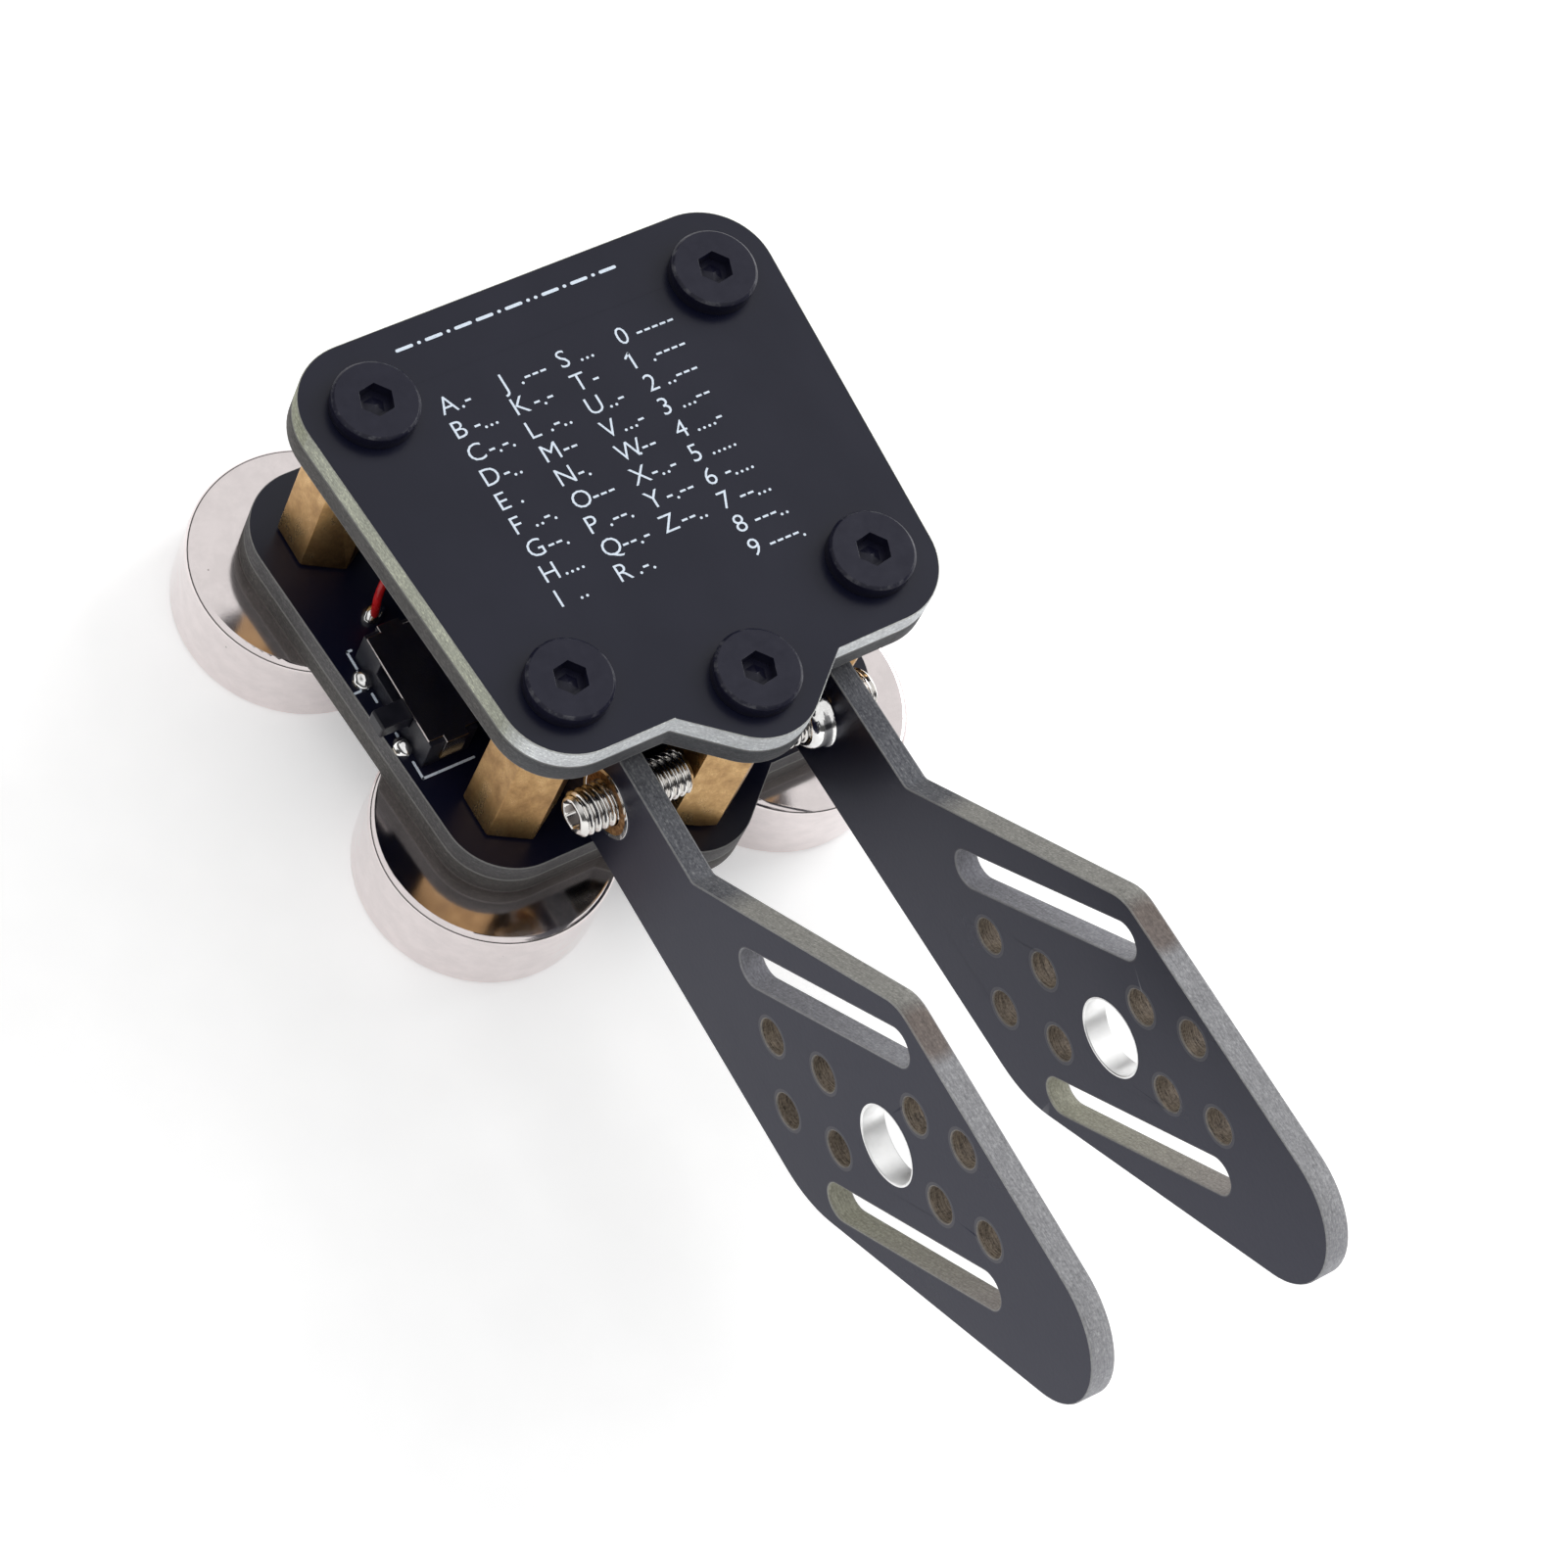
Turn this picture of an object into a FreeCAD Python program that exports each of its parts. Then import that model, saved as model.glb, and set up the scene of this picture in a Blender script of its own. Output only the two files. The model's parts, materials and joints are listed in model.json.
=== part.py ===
"""Twin-paddle morse key made of stacked circuit boards, as a parametric FreeCAD document.

Frame: +X right, +Y away from the operator, +Z up, millimetres.  The origin is the centre of the four
corner screws, on the plane that the undersides of the four base magnets rest on.  The two paddles
reach towards the operator, along -Y.

Stack from the bottom: magnets, base boards (outer, inner), hexagonal standoffs, top boards (inner,
outer), screw heads.  Each paddle is a board on edge that turns on two tabs in the inner boards.
"""
import FreeCAD, Part
import math
import os

import Sketcher

DOC = FreeCAD.newDocument("morse_key")

# Driving dimensions in millimetres and degrees: alias, value, meaning
DIMENSIONS = [
    ("board_thickness", 1.6, "all circuit boards"),
    ("rear_edge", 15.15, "centre to the rear edge of the plates"),
    ("front_edge", 14.95, "centre to the front edge of the plates"),
    ("rear_half_width", 17.0, "half width of the plates at the rear edge"),
    ("front_half_width", 15.1, "half width of the plates at the front edge"),
    ("corner_round", 4.45, "corner radius of the plates"),
    ("lobe_round", 4.15, "radius of the front lobe, round the contact post"),
    ("lobe_flank", 40.0, "angle of the lobe's flanks to the front edge"),
    ("row_half", 10.45, "centre to the front and the rear row of corner screws"),
    ("rear_hole_half", 12.2, "half spacing of the rear screws"),
    ("front_hole_half", 10.9, "half spacing of the front screws"),
    ("post_ahead", 4.05, "contact post ahead of the front row"),
    ("screw_hole", 3.2, "clearance hole for an M3 screw"),
    ("screw_thread", 2.95, "M3 thread as a plain cylinder"),
    ("standoff_length", 12.0, "hexagonal standoff"),
    ("standoff_flats", 5.0, "hexagonal standoff across flats"),
    ("standoff_bore", 3.0, "M3 bore of the standoff"),
    ("standoff_chamfer", 0.25, "turned ends of the standoff"),
    ("post_foot", 4.3, "diameter that the contact post's foot is turned down to"),
    ("top_head", 5.5, "diameter of the low screw heads"),
    ("top_head_height", 1.15, "height of the low screw heads"),
    ("top_screw_length", 6.0, "thread below the low heads"),
    ("head_chamfer", 0.18, "edge of the low screw heads"),
    ("hex_key", 2.0, "hexagonal sockets of the M3 screws, across flats"),
    ("hex_depth", 0.9, "depth of the sockets in the low heads"),
    ("hex_turn", 10.0, "turn of the low heads' sockets"),
    ("magnet_diameter", 16.0, "base magnet"),
    ("magnet_height", 6.0, "base magnet"),
    ("magnet_round", 0.45, "rounded rims of the base magnet"),
    ("magnet_hole", 3.4, "screw hole in the base magnet"),
    ("sink_diameter", 7.4, "countersink in the base magnet"),
    ("sink_head", 6.0, "countersunk screw head"),
    ("sink_recess", 0.35, "countersunk head above the resting plane"),
    ("sink_rim", 0.2, "cylindrical rim of the countersunk head"),
    ("magnet_screw_length", 12.0, "countersunk screw overall"),
    ("magnet_hex_depth", 1.2, "socket of the countersunk screw"),
    ("pivot_half", 7.3, "half spacing of the paddle pivots"),
    ("pivot_back", 5.5, "pivots behind the centre"),
    ("pivot_hole", 2.45, "round bearing hole in the inner boards"),
    ("pivot_tab", 1.6, "width of the paddle's pivot tabs"),
    ("pivot_play", 0.06, "end play of the pivot tabs, each end"),
    ("rest_gap", 0.05, "paddle at rest to the flat of the front standoff"),
    ("heel_back", 2.4, "paddle behind its pivot"),
    ("heel_ahead", 3.0, "tall heel of the paddle ahead of its pivot"),
    ("heel_gap", 0.15, "heel to the boards above and below"),
    ("paddle_bottom", 11.3, "height of the neck's lower edge"),
    ("neck_top", 20.1, "height of the neck's upper edge"),
    ("paddle_crown", 34.5, "height of the blade's upper edge"),
    ("crook_reach", 28.8, "pivot to the concave corner on top of the neck"),
    ("crown_reach", 44.6, "pivot to the rear end of the blade's upper edge"),
    ("nose_reach", 68.25, "pivot to the tip"),
    ("nose_round", 5.2, "radius of the tip"),
    ("under_slope", 36.0, "angle of the blade's lower front edge"),
    ("under_round", 7.5, "radius where the lower edges meet"),
    ("crown_round", 2.6, "radius at the rear end of the upper edge"),
    ("crook_round", 0.6, "radius of the concave corner"),
    ("slot_width", 2.5, "the two slanting slots"),
    ("slot_angle", 45.0, "slope of the slots"),
    ("slot_length", 15.2, "centre to centre of a slot's round ends"),
    ("upper_slot_reach", 35.35, "pivot to the lower end of the upper slot"),
    ("upper_slot_level", 21.1, "height of the lower end of the upper slot"),
    ("lower_slot_reach", 48.9, "pivot to the lower end of the lower slot"),
    ("lower_slot_level", 15.25, "height of the lower end of the lower slot"),
    ("eye_reach", 49.2, "pivot to the large hole"),
    ("eye_level", 24.4, "height of the large hole"),
    ("eye_diameter", 5.0, "large hole"),
    ("small_hole", 2.3, "eight small holes"),
    ("near_group_reach", 42.9, "pivot to the middle of the rear four small holes"),
    ("near_group_level", 18.8, "height of that middle"),
    ("near_group_along", 3.9, "that middle to its front and rear holes"),
    ("near_group_up", 3.3, "that middle to its upper and lower holes"),
    ("near_group_lean", 0.3, "upper and lower holes leaning off that middle"),
    ("far_group_reach", 53.7, "pivot to the middle of the front four small holes"),
    ("far_group_level", 29.35, "height of that middle"),
    ("far_group_along", 4.15, "that middle to its front and rear holes"),
    ("far_group_up", 3.0, "that middle to its upper and lower holes"),
    ("far_group_lean", -0.45, "upper and lower holes leaning off that middle"),
    ("screw_ahead", 4.65, "contact screws ahead of the front row of standoffs"),
    ("bush_level", 15.7, "height of the contact screws"),
    ("bush_shank", 4.2, "threaded bush through the paddle"),
    ("bush_collar", 4.4, "collar of the bush, on the inner face"),
    ("bush_collar_height", 1.4, "collar of the bush"),
    ("bush_bore", 3.0, "M3 bore of the bush"),
    ("contact_gap", 0.35, "contact screw to the post, paddle at rest"),
    ("contact_screw_length", 8.0, "M3 set screw"),
    ("contact_tip", 2.0, "flat end of the set screw"),
    ("thread_pitch", 0.5, "M3 thread"),
    ("thread_root", 2.45, "M3 thread at its root"),
    ("thread_crest", 0.2, "crest of the thread, as a part of the pitch"),
    ("thread_valley", 0.6, "start of a turn to its root, as a part of the pitch"),
    ("plain_end", 1.5, "both ends of the set screw without thread, together"),
    ("contact_hex", 1.5, "socket of the set screw, across flats"),
    ("contact_hex_depth", 1.6, "socket of the set screw"),
    ("return_magnet", 6.0, "diameter of the magnets that return the paddles"),
    ("return_magnet_height", 2.5, "magnets that return the paddles"),
    ("return_reach", 9.5, "pivot to the return magnets"),
    ("switch_x", -12.9, "middle of the slide switch"),
    ("switch_y", -2.05, "middle of the slide switch"),
    ("switch_length", 8.3, "slide switch"),
    ("switch_width", 3.6, "slide switch"),
    ("switch_height", 3.0, "slide switch"),
    ("shell_sheet", 0.2, "sheet metal cover of the switch"),
    ("shell_short", 0.6, "cover shorter than the housing, apart from its tongues"),
    ("tongue_width", 1.6, "tongues of the cover, bent down over the housing's ends"),
    ("tongue_low", 0.8, "tongues above the board"),
    ("slider_width", 1.4, "actuator of the switch"),
    ("slider_height", 1.2, "actuator of the switch"),
    ("slider_out", 2.1, "actuator proud of the switch"),
    ("slider_in", 1.2, "actuator inside the switch"),
    ("slider_level", 1.55, "actuator above the board"),
    ("switch_travel", 2.4, "travel of the actuator"),
    ("slider_play", 0.1, "actuator in its window"),
    ("pin_width", 0.5, "terminals of the switch"),
    ("pin_pitch", 2.0, "terminals of the switch"),
    ("lug_pitch", 5.0, "fixing lugs of the switch's cover"),
    ("jack_width", 6.2, "headphone-type socket"),
    ("jack_height", 5.2, "headphone-type socket"),
    ("jack_length", 12.0, "headphone-type socket, body"),
    ("jack_bore", 3.6, "bore for a 3.5 mm plug"),
    ("jack_bore_length", 11.4, "bore behind the mouth of the body"),
    ("jack_nose", 5.0, "outer diameter of the socket's nose"),
    ("jack_nose_length", 1.5, "nose beyond the rear edge"),
    ("jack_setback", 0.3, "body inside the rear edge"),
    ("contact_sheet", 0.25, "contact springs of the socket"),
    ("contact_spring_width", 1.2, "contact springs of the socket"),
    ("spring_setback", 2.4, "first contact spring from the mouth"),
    ("spring_step", 3.0, "from one contact spring to the next, on alternate flanks"),
    ("wire_diameter", 0.55, "insulated wires"),
    ("wire_pad_x", 12.3, "wire pad to the centre line"),
    ("wire_pad_y", 4.0, "wire pad behind the centre"),
    ("wire_clear", 0.1, "wire end to the paddle face"),
    ("wire_lean", 0.3, "wire leaning back above its pad"),
    ("wire_turn", 1.4, "size of the bend towards the paddle"),
    ("wire_end_back", 1.0, "wire end behind the pivot"),
    ("wire_low", 3.0, "height on the wire above its pad"),
    ("wire_bend", 6.6, "height of the bend above the pad"),
    ("wire_end", 7.2, "height of the wire's end above the pad"),
]

SHEET = DOC.addObject("Spreadsheet::Sheet", "Dims")
for row, (alias, value, meaning) in enumerate(DIMENSIONS, start=1):
    SHEET.set(f"A{row}", meaning)
    SHEET.set(f"B{row}", str(value))
    SHEET.setAlias(f"B{row}", alias)
DOC.recompute()

# Levels in the stack, as expressions of the sheet
BASE_OUTER = "Dims.magnet_height"
BASE_INNER = "(Dims.magnet_height + Dims.board_thickness)"
DECK = "(Dims.magnet_height + 2 * Dims.board_thickness)"
TOP_INNER = f"({DECK} + Dims.standoff_length)"
TOP_OUTER = f"({TOP_INNER} + Dims.board_thickness)"
TOP_FACE = f"({TOP_OUTER} + Dims.board_thickness)"

# Screw places in plan, as expressions of the sheet
POST_Y = "(-Dims.row_half - Dims.post_ahead)"
CORNERS = [
    ("-Dims.rear_hole_half", "Dims.row_half"),
    ("Dims.rear_hole_half", "Dims.row_half"),
    ("Dims.front_hole_half", "-Dims.row_half"),
    ("-Dims.front_hole_half", "-Dims.row_half"),
]
POST = ("0", POST_Y)

SUB_PARTS = []

# How near an edge must be to the place it is looked for, in millimetres
ON_PLACE = 0.05
EXACT = 0.001


# ---------------------------------------------------------------- helpers

def new_body(label):
    """A sub-part as a PartDesign body; a body may hold several separate solids."""
    body = DOC.addObject("PartDesign::Body", label)
    body.Label = label
    body.AllowCompound = True
    SUB_PARTS.append(body)
    return body


def place(body, x="0", y="0", z="0", turn=None):
    """Bind the body's place, and its turn about Z, to the sheet."""
    if turn is not None:
        body.Placement = FreeCAD.Placement(FreeCAD.Vector(), FreeCAD.Rotation(FreeCAD.Vector(0, 0, 1), 1))
        body.setExpression("Placement.Rotation.Angle", turn)
    body.setExpression("Placement.Base.x", x)
    body.setExpression("Placement.Base.y", y)
    body.setExpression("Placement.Base.z", z)


def new_sketch(body, name, role="XY_Plane", offset="0"):
    """A sketch on one of the body's own planes, moved along the plane's normal by offset."""
    sketch = body.newObject("Sketcher::SketchObject", f"{body.Label}_{name}")
    plane = next(f for f in body.Origin.OriginFeatures if f.Role == role)
    sketch.AttachmentSupport = [(plane, "")]
    sketch.MapMode = "FlatFace"
    sketch.setExpression("AttachmentOffset.Base.z", offset)
    return sketch


def dimension(sketch, kind, geometry, point, expression):
    """One driving dimension from the sketch's origin to a point, bound to the sheet."""
    index = sketch.addConstraint(Sketcher.Constraint(kind, -1, 1, geometry, point, 1.0))
    sketch.setExpression(f"Constraints[{index}]", expression)


def draw_polygon(sketch, corners):
    """A closed outline; corners are (across, up) expressions, anticlockwise or clockwise."""
    count = len(corners)
    first = sketch.GeometryCount
    for i in range(count):
        ends = []
        for k in (i, i + 1):
            angle = 2 * math.pi * k / count
            ends.append(FreeCAD.Vector(math.cos(angle), math.sin(angle), 0))
        sketch.addGeometry(Part.LineSegment(ends[0], ends[1]))
    for i in range(count):
        following = first + (i + 1) % count
        sketch.addConstraint(Sketcher.Constraint("Coincident", first + i, 2, following, 1))
    for i, (across, up) in enumerate(corners):
        dimension(sketch, "DistanceX", first + i, 1, across)
        dimension(sketch, "DistanceY", first + i, 1, up)


def draw_rectangle(sketch, left, right, low, high):
    draw_polygon(sketch, [(left, low), (right, low), (right, high), (left, high)])


def draw_circle(sketch, centre, diameter):
    """A circle at (across, up) expressions."""
    index = sketch.GeometryCount
    sketch.addGeometry(Part.Circle(FreeCAD.Vector(1, 1, 0), FreeCAD.Vector(0, 0, 1), 1.0))
    dimension(sketch, "DistanceX", index, 3, centre[0])
    dimension(sketch, "DistanceY", index, 3, centre[1])
    size = sketch.addConstraint(Sketcher.Constraint("Diameter", index, 2.0))
    sketch.setExpression(f"Constraints[{size}]", diameter)


def draw_hexagon(sketch, centre, flats, first_corner=30):
    """A hexagon across flats, with one corner at first_corner degrees."""
    corners = []
    for step in range(6):
        angle = first_corner + 60 * step
        corners.append((
            f"{centre[0]} + {flats} / sqrt(3) * cos({angle} deg)",
            f"{centre[1]} + {flats} / sqrt(3) * sin({angle} deg)",
        ))
    draw_polygon(sketch, corners)


def pad(body, sketch, length, middle=False, backwards=False):
    """Raise the sketch by length, or equally to both sides of its plane."""
    feature = body.newObject("PartDesign::Pad", f"{sketch.Name}_pad")
    feature.Profile = sketch
    feature.setExpression("Length", length)
    feature.Midplane = middle
    feature.Reversed = backwards
    DOC.recompute()
    return feature


def pocket(body, sketch, depth=None, middle=False, backwards=False):
    """Cut the sketch out to a depth, or right through, and prove that it removed material."""
    before = body.Shape.Volume
    feature = body.newObject("PartDesign::Pocket", f"{sketch.Name}_pocket")
    feature.Profile = sketch
    if depth is None:
        feature.Type = "ThroughAll"
    else:
        feature.setExpression("Length", depth)
    feature.Midplane = middle
    feature.Reversed = backwards
    DOC.recompute()
    if body.Shape.Volume >= before:
        raise RuntimeError(f"{feature.Name} cuts nothing")
    return feature


def turned(body, name, profile):
    """A solid of revolution about the body's Z axis; profile is (radius, height) expressions."""
    sketch = new_sketch(body, name, "XZ_Plane")
    draw_polygon(sketch, profile)
    feature = body.newObject("PartDesign::Revolution", f"{sketch.Name}_turned")
    feature.Profile = sketch
    feature.ReferenceAxis = (sketch, ["V_Axis"])
    feature.Angle = 360
    DOC.recompute()
    return feature


def dress(body, kind, edges, size):
    """Fillet or Chamfer the named edges of the body's tip, with its size bound to the sheet."""
    base = body.Tip
    feature = body.newObject(f"PartDesign::{kind}", f"{body.Label}_{kind}")
    feature.Base = (base, edges)
    feature.setExpression("Radius" if kind == "Fillet" else "Size", size)
    DOC.recompute()
    return feature


def value(alias):
    """A dimension's number, for finding edges."""
    return getattr(SHEET, alias)


def round_edges(shape, radius, level):
    """Names of the full circles of this radius on this level of the body's own Z."""
    names = []
    for number, edge in enumerate(shape.Edges, start=1):
        circle = edge.Curve
        if not isinstance(circle, Part.Circle):
            continue
        if abs(circle.Radius - radius) < EXACT and abs(circle.Center.z - level) < EXACT:
            names.append(f"Edge{number}")
    return names


def straight_edges(shape, direction, test):
    """Names of the straight edges along a direction whose middle passes a test."""
    names = []
    for number, edge in enumerate(shape.Edges, start=1):
        if not isinstance(edge.Curve, Part.Line):
            continue
        along = edge.Curve.Direction
        if abs(along.dot(direction)) > 1 - EXACT and test(edge.CenterOfMass):
            names.append(f"Edge{number}")
    return names


def level_edges(shape):
    """Names of the straight edges that lie level."""
    names = []
    for number, edge in enumerate(shape.Edges, start=1):
        if isinstance(edge.Curve, Part.Line) and abs(edge.Curve.Direction.z) < EXACT:
            names.append(f"Edge{number}")
    return names


def near(point, y, z):
    return math.hypot(point.y - y, point.z - z) < ON_PLACE


# ---------------------------------------------------------------- boards

def plate_outline(sketch):
    """A tapered plate whose front edge carries a pointed lobe, rounded later."""
    apex = f"({POST_Y} - Dims.lobe_round / cos(Dims.lobe_flank * 1 deg))"
    root = f"((-Dims.front_edge - {apex}) / tan(Dims.lobe_flank * 1 deg))"
    draw_polygon(sketch, [
        ("-Dims.rear_half_width", "Dims.rear_edge"),
        ("-Dims.front_half_width", "-Dims.front_edge"),
        (f"-{root}", "-Dims.front_edge"),
        ("0", apex),
        (root, "-Dims.front_edge"),
        ("Dims.front_half_width", "-Dims.front_edge"),
        ("Dims.rear_half_width", "Dims.rear_edge"),
    ])


def plate(label, level, with_pivots):
    """One plate: outline, rounded corners and lobe, screw holes and pivot holes."""
    body = new_body(label)
    outline = new_sketch(body, "outline")
    plate_outline(outline)
    blank = pad(body, outline, "Dims.board_thickness")
    upright = FreeCAD.Vector(0, 0, 1)
    at_corner = lambda middle: abs(middle.x) > value("front_half_width") - ON_PLACE
    dress(body, "Fillet", straight_edges(blank.Shape, upright, at_corner), "Dims.corner_round")
    at_apex = lambda middle: abs(middle.x) < ON_PLACE
    dress(body, "Fillet", straight_edges(body.Tip.Shape, upright, at_apex), "Dims.lobe_round")
    holes = new_sketch(body, "holes")
    for centre in CORNERS + [POST]:
        draw_circle(holes, centre, "Dims.screw_hole")
    if with_pivots:
        for side in ("-", ""):
            draw_circle(holes, (f"{side}Dims.pivot_half", "Dims.pivot_back"), "Dims.pivot_hole")
    pocket(body, holes, backwards=True)
    place(body, z=level)
    return body


# ---------------------------------------------------------------- posts, screws and magnets

def standoffs(label, centres):
    """Hexagonal brass standoffs with flats facing the paddles and turned ends."""
    body = new_body(label)
    bars = new_sketch(body, "bars")
    for centre in centres:
        draw_hexagon(bars, centre, "Dims.standoff_flats")
    pad(body, bars, "Dims.standoff_length")
    dress(body, "Chamfer", level_edges(body.Tip.Shape), "Dims.standoff_chamfer")
    bores = new_sketch(body, "bores")
    for centre in centres:
        draw_circle(bores, centre, "Dims.standoff_bore")
    pocket(body, bores, backwards=True)
    place(body, z=DECK)
    return body


def contact_post():
    """The brass post under the front lobe: a standoff whose foot is turned to a cone."""
    body = standoffs("contact_post", [POST])
    foot = new_sketch(body, "foot", "XZ_Plane", offset=f"-{POST_Y}")
    reach = "Dims.standoff_flats"
    draw_polygon(foot, [
        ("Dims.post_foot / 2", "0"),
        (reach, "0"),
        (reach, f"{reach} - Dims.post_foot / 2"),
    ])
    cone = body.newObject("PartDesign::Groove", f"{foot.Name}_cone")
    cone.Profile = foot
    cone.ReferenceAxis = (foot, ["V_Axis"])
    cone.Angle = 360
    DOC.recompute()
    return body


def low_head_screws():
    """Five black low-head M3 screws in the top boards, four corners and the post."""
    body = new_body("top_screws")
    centres = CORNERS + [POST]
    heads = new_sketch(body, "heads")
    for centre in centres:
        draw_circle(heads, centre, "Dims.top_head")
    pad(body, heads, "Dims.top_head_height")
    shanks = new_sketch(body, "shanks")
    for centre in centres:
        draw_circle(shanks, centre, "Dims.screw_thread")
    pad(body, shanks, "Dims.top_screw_length", backwards=True)
    rims = round_edges(body.Tip.Shape, value("top_head") / 2, value("top_head_height"))
    dress(body, "Chamfer", rims, "Dims.head_chamfer")
    sockets = new_sketch(body, "sockets", offset="Dims.top_head_height")
    for centre in centres:
        draw_hexagon(sockets, centre, "Dims.hex_key", first_corner=value("hex_turn"))
    pocket(body, sockets, "Dims.hex_depth")
    place(body, z=TOP_FACE)
    return body


def base_magnets():
    """Four countersunk ring magnets that the key stands on."""
    body = new_body("base_magnets")
    discs = new_sketch(body, "discs")
    for centre in CORNERS:
        draw_circle(discs, centre, "Dims.magnet_diameter")
    pad(body, discs, "Dims.magnet_height")
    bores = new_sketch(body, "bores")
    for centre in CORNERS:
        draw_circle(bores, centre, "Dims.magnet_hole")
    pocket(body, bores, backwards=True)
    sinks = round_edges(body.Tip.Shape, value("magnet_hole") / 2, 0)
    dress(body, "Chamfer", sinks, "(Dims.sink_diameter - Dims.magnet_hole) / 2")
    rims = round_edges(body.Tip.Shape, value("magnet_diameter") / 2, 0)
    rims += round_edges(body.Tip.Shape, value("magnet_diameter") / 2, value("magnet_height"))
    dress(body, "Fillet", rims, "Dims.magnet_round")
    return body


def countersunk_screws():
    """Four M3 countersunk screws, up through magnets and base boards into the standoffs."""
    body = new_body("magnet_screws")
    discs = new_sketch(body, "heads")
    head_height = "(Dims.sink_rim + (Dims.sink_head - Dims.screw_thread) / 2)"
    for centre in CORNERS:
        draw_circle(discs, centre, "Dims.sink_head")
    pad(body, discs, head_height)
    rims = round_edges(
        body.Tip.Shape,
        value("sink_head") / 2,
        value("sink_rim") + (value("sink_head") - value("screw_thread")) / 2,
    )
    dress(body, "Chamfer", rims, f"(Dims.sink_head - Dims.screw_thread) / 2 - {EXACT}")
    shanks = new_sketch(body, "shanks")
    for centre in CORNERS:
        draw_circle(shanks, centre, "Dims.screw_thread")
    pad(body, shanks, "Dims.magnet_screw_length")
    sockets = new_sketch(body, "sockets")
    for centre in CORNERS:
        draw_hexagon(sockets, centre, "Dims.hex_key")
    pocket(body, sockets, "Dims.magnet_hex_depth", backwards=True)
    place(body, z="Dims.sink_recess")
    return body


def post_screw():
    """The low-head screw under the front lobe, up into the contact post."""
    body = new_body("post_screw")
    head = new_sketch(body, "head")
    draw_circle(head, ("0", "0"), "Dims.top_head")
    pad(body, head, "Dims.top_head_height", backwards=True)
    shank = new_sketch(body, "shank")
    draw_circle(shank, ("0", "0"), "Dims.screw_thread")
    pad(body, shank, "Dims.top_screw_length")
    rims = round_edges(body.Tip.Shape, value("top_head") / 2, -value("top_head_height"))
    dress(body, "Chamfer", rims, "Dims.head_chamfer")
    socket = new_sketch(body, "socket", offset="-Dims.top_head_height")
    draw_hexagon(socket, ("0", "0"), "Dims.hex_key")
    pocket(body, socket, "Dims.hex_depth", backwards=True)
    place(body, y=POST_Y, z=BASE_OUTER)
    return body


# ---------------------------------------------------------------- paddles

# Turn of a paddle at rest: its outer face lies against the flat of the front standoff
SPLAY = (
    "atan((Dims.front_hole_half - Dims.standoff_flats / 2 - Dims.rest_gap"
    " - Dims.board_thickness / 2 - Dims.pivot_half) / (Dims.row_half + Dims.pivot_back))"
)
SCREW_REACH = "(Dims.row_half + Dims.screw_ahead + Dims.pivot_back)"


def place_on_paddle(body, side):
    """Put a body that is drawn about the pivot axis on the left (-1) or right (+1) paddle."""
    place(body, x=f"{side} * Dims.pivot_half", y="Dims.pivot_back", turn=f"{side} * {SPLAY}")


def paddle_outline(sketch):
    """Heel with a tab at each end, neck and blade; across is +Y, so the blade is negative."""
    nose = "(Dims.nose_reach - Dims.nose_round + Dims.nose_round / tan(Dims.under_slope * 0.5 deg))"
    under = f"({nose} - (Dims.paddle_crown - Dims.paddle_bottom) / tan(Dims.under_slope * 1 deg))"
    heel_low = f"({DECK} + Dims.heel_gap)"
    heel_high = f"({TOP_INNER} - Dims.heel_gap)"
    tab_low = f"({BASE_INNER} + Dims.pivot_play)"
    tab_high = f"({TOP_OUTER} - Dims.pivot_play)"
    draw_polygon(sketch, [
        ("Dims.heel_back", heel_low),
        ("Dims.heel_back", heel_high),
        ("Dims.pivot_tab / 2", heel_high),
        ("Dims.pivot_tab / 2", tab_high),
        ("-Dims.pivot_tab / 2", tab_high),
        ("-Dims.pivot_tab / 2", heel_high),
        ("-Dims.heel_ahead", heel_high),
        ("-Dims.heel_ahead", "Dims.neck_top"),
        ("-Dims.crook_reach", "Dims.neck_top"),
        ("-Dims.crown_reach", "Dims.paddle_crown"),
        (f"-{nose}", "Dims.paddle_crown"),
        (f"-{under}", "Dims.paddle_bottom"),
        ("-Dims.heel_ahead", "Dims.paddle_bottom"),
        ("-Dims.heel_ahead", heel_low),
        ("-Dims.pivot_tab / 2", heel_low),
        ("-Dims.pivot_tab / 2", tab_low),
        ("Dims.pivot_tab / 2", tab_low),
        ("Dims.pivot_tab / 2", heel_low),
    ])


def slot_corners(reach, level):
    """The four corners of a slanting slot's straight part, with round ends added apart."""
    along = "Dims.slot_length * cos(Dims.slot_angle * 1 deg)"
    rise = "Dims.slot_length * sin(Dims.slot_angle * 1 deg)"
    aside = "Dims.slot_width / 2 * sin(Dims.slot_angle * 1 deg)"
    over = "Dims.slot_width / 2 * cos(Dims.slot_angle * 1 deg)"
    return [
        (f"-{reach} + {aside}", f"{level} + {over}"),
        (f"-{reach} - {along} + {aside}", f"{level} + {rise} + {over}"),
        (f"-{reach} - {along} - {aside}", f"{level} + {rise} - {over}"),
        (f"-{reach} - {aside}", f"{level} - {over}"),
    ]


def slot_ends(reach, level):
    along = "Dims.slot_length * cos(Dims.slot_angle * 1 deg)"
    rise = "Dims.slot_length * sin(Dims.slot_angle * 1 deg)"
    return [(f"-{reach}", level), (f"-{reach} - {along}", f"{level} + {rise}")]


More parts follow.
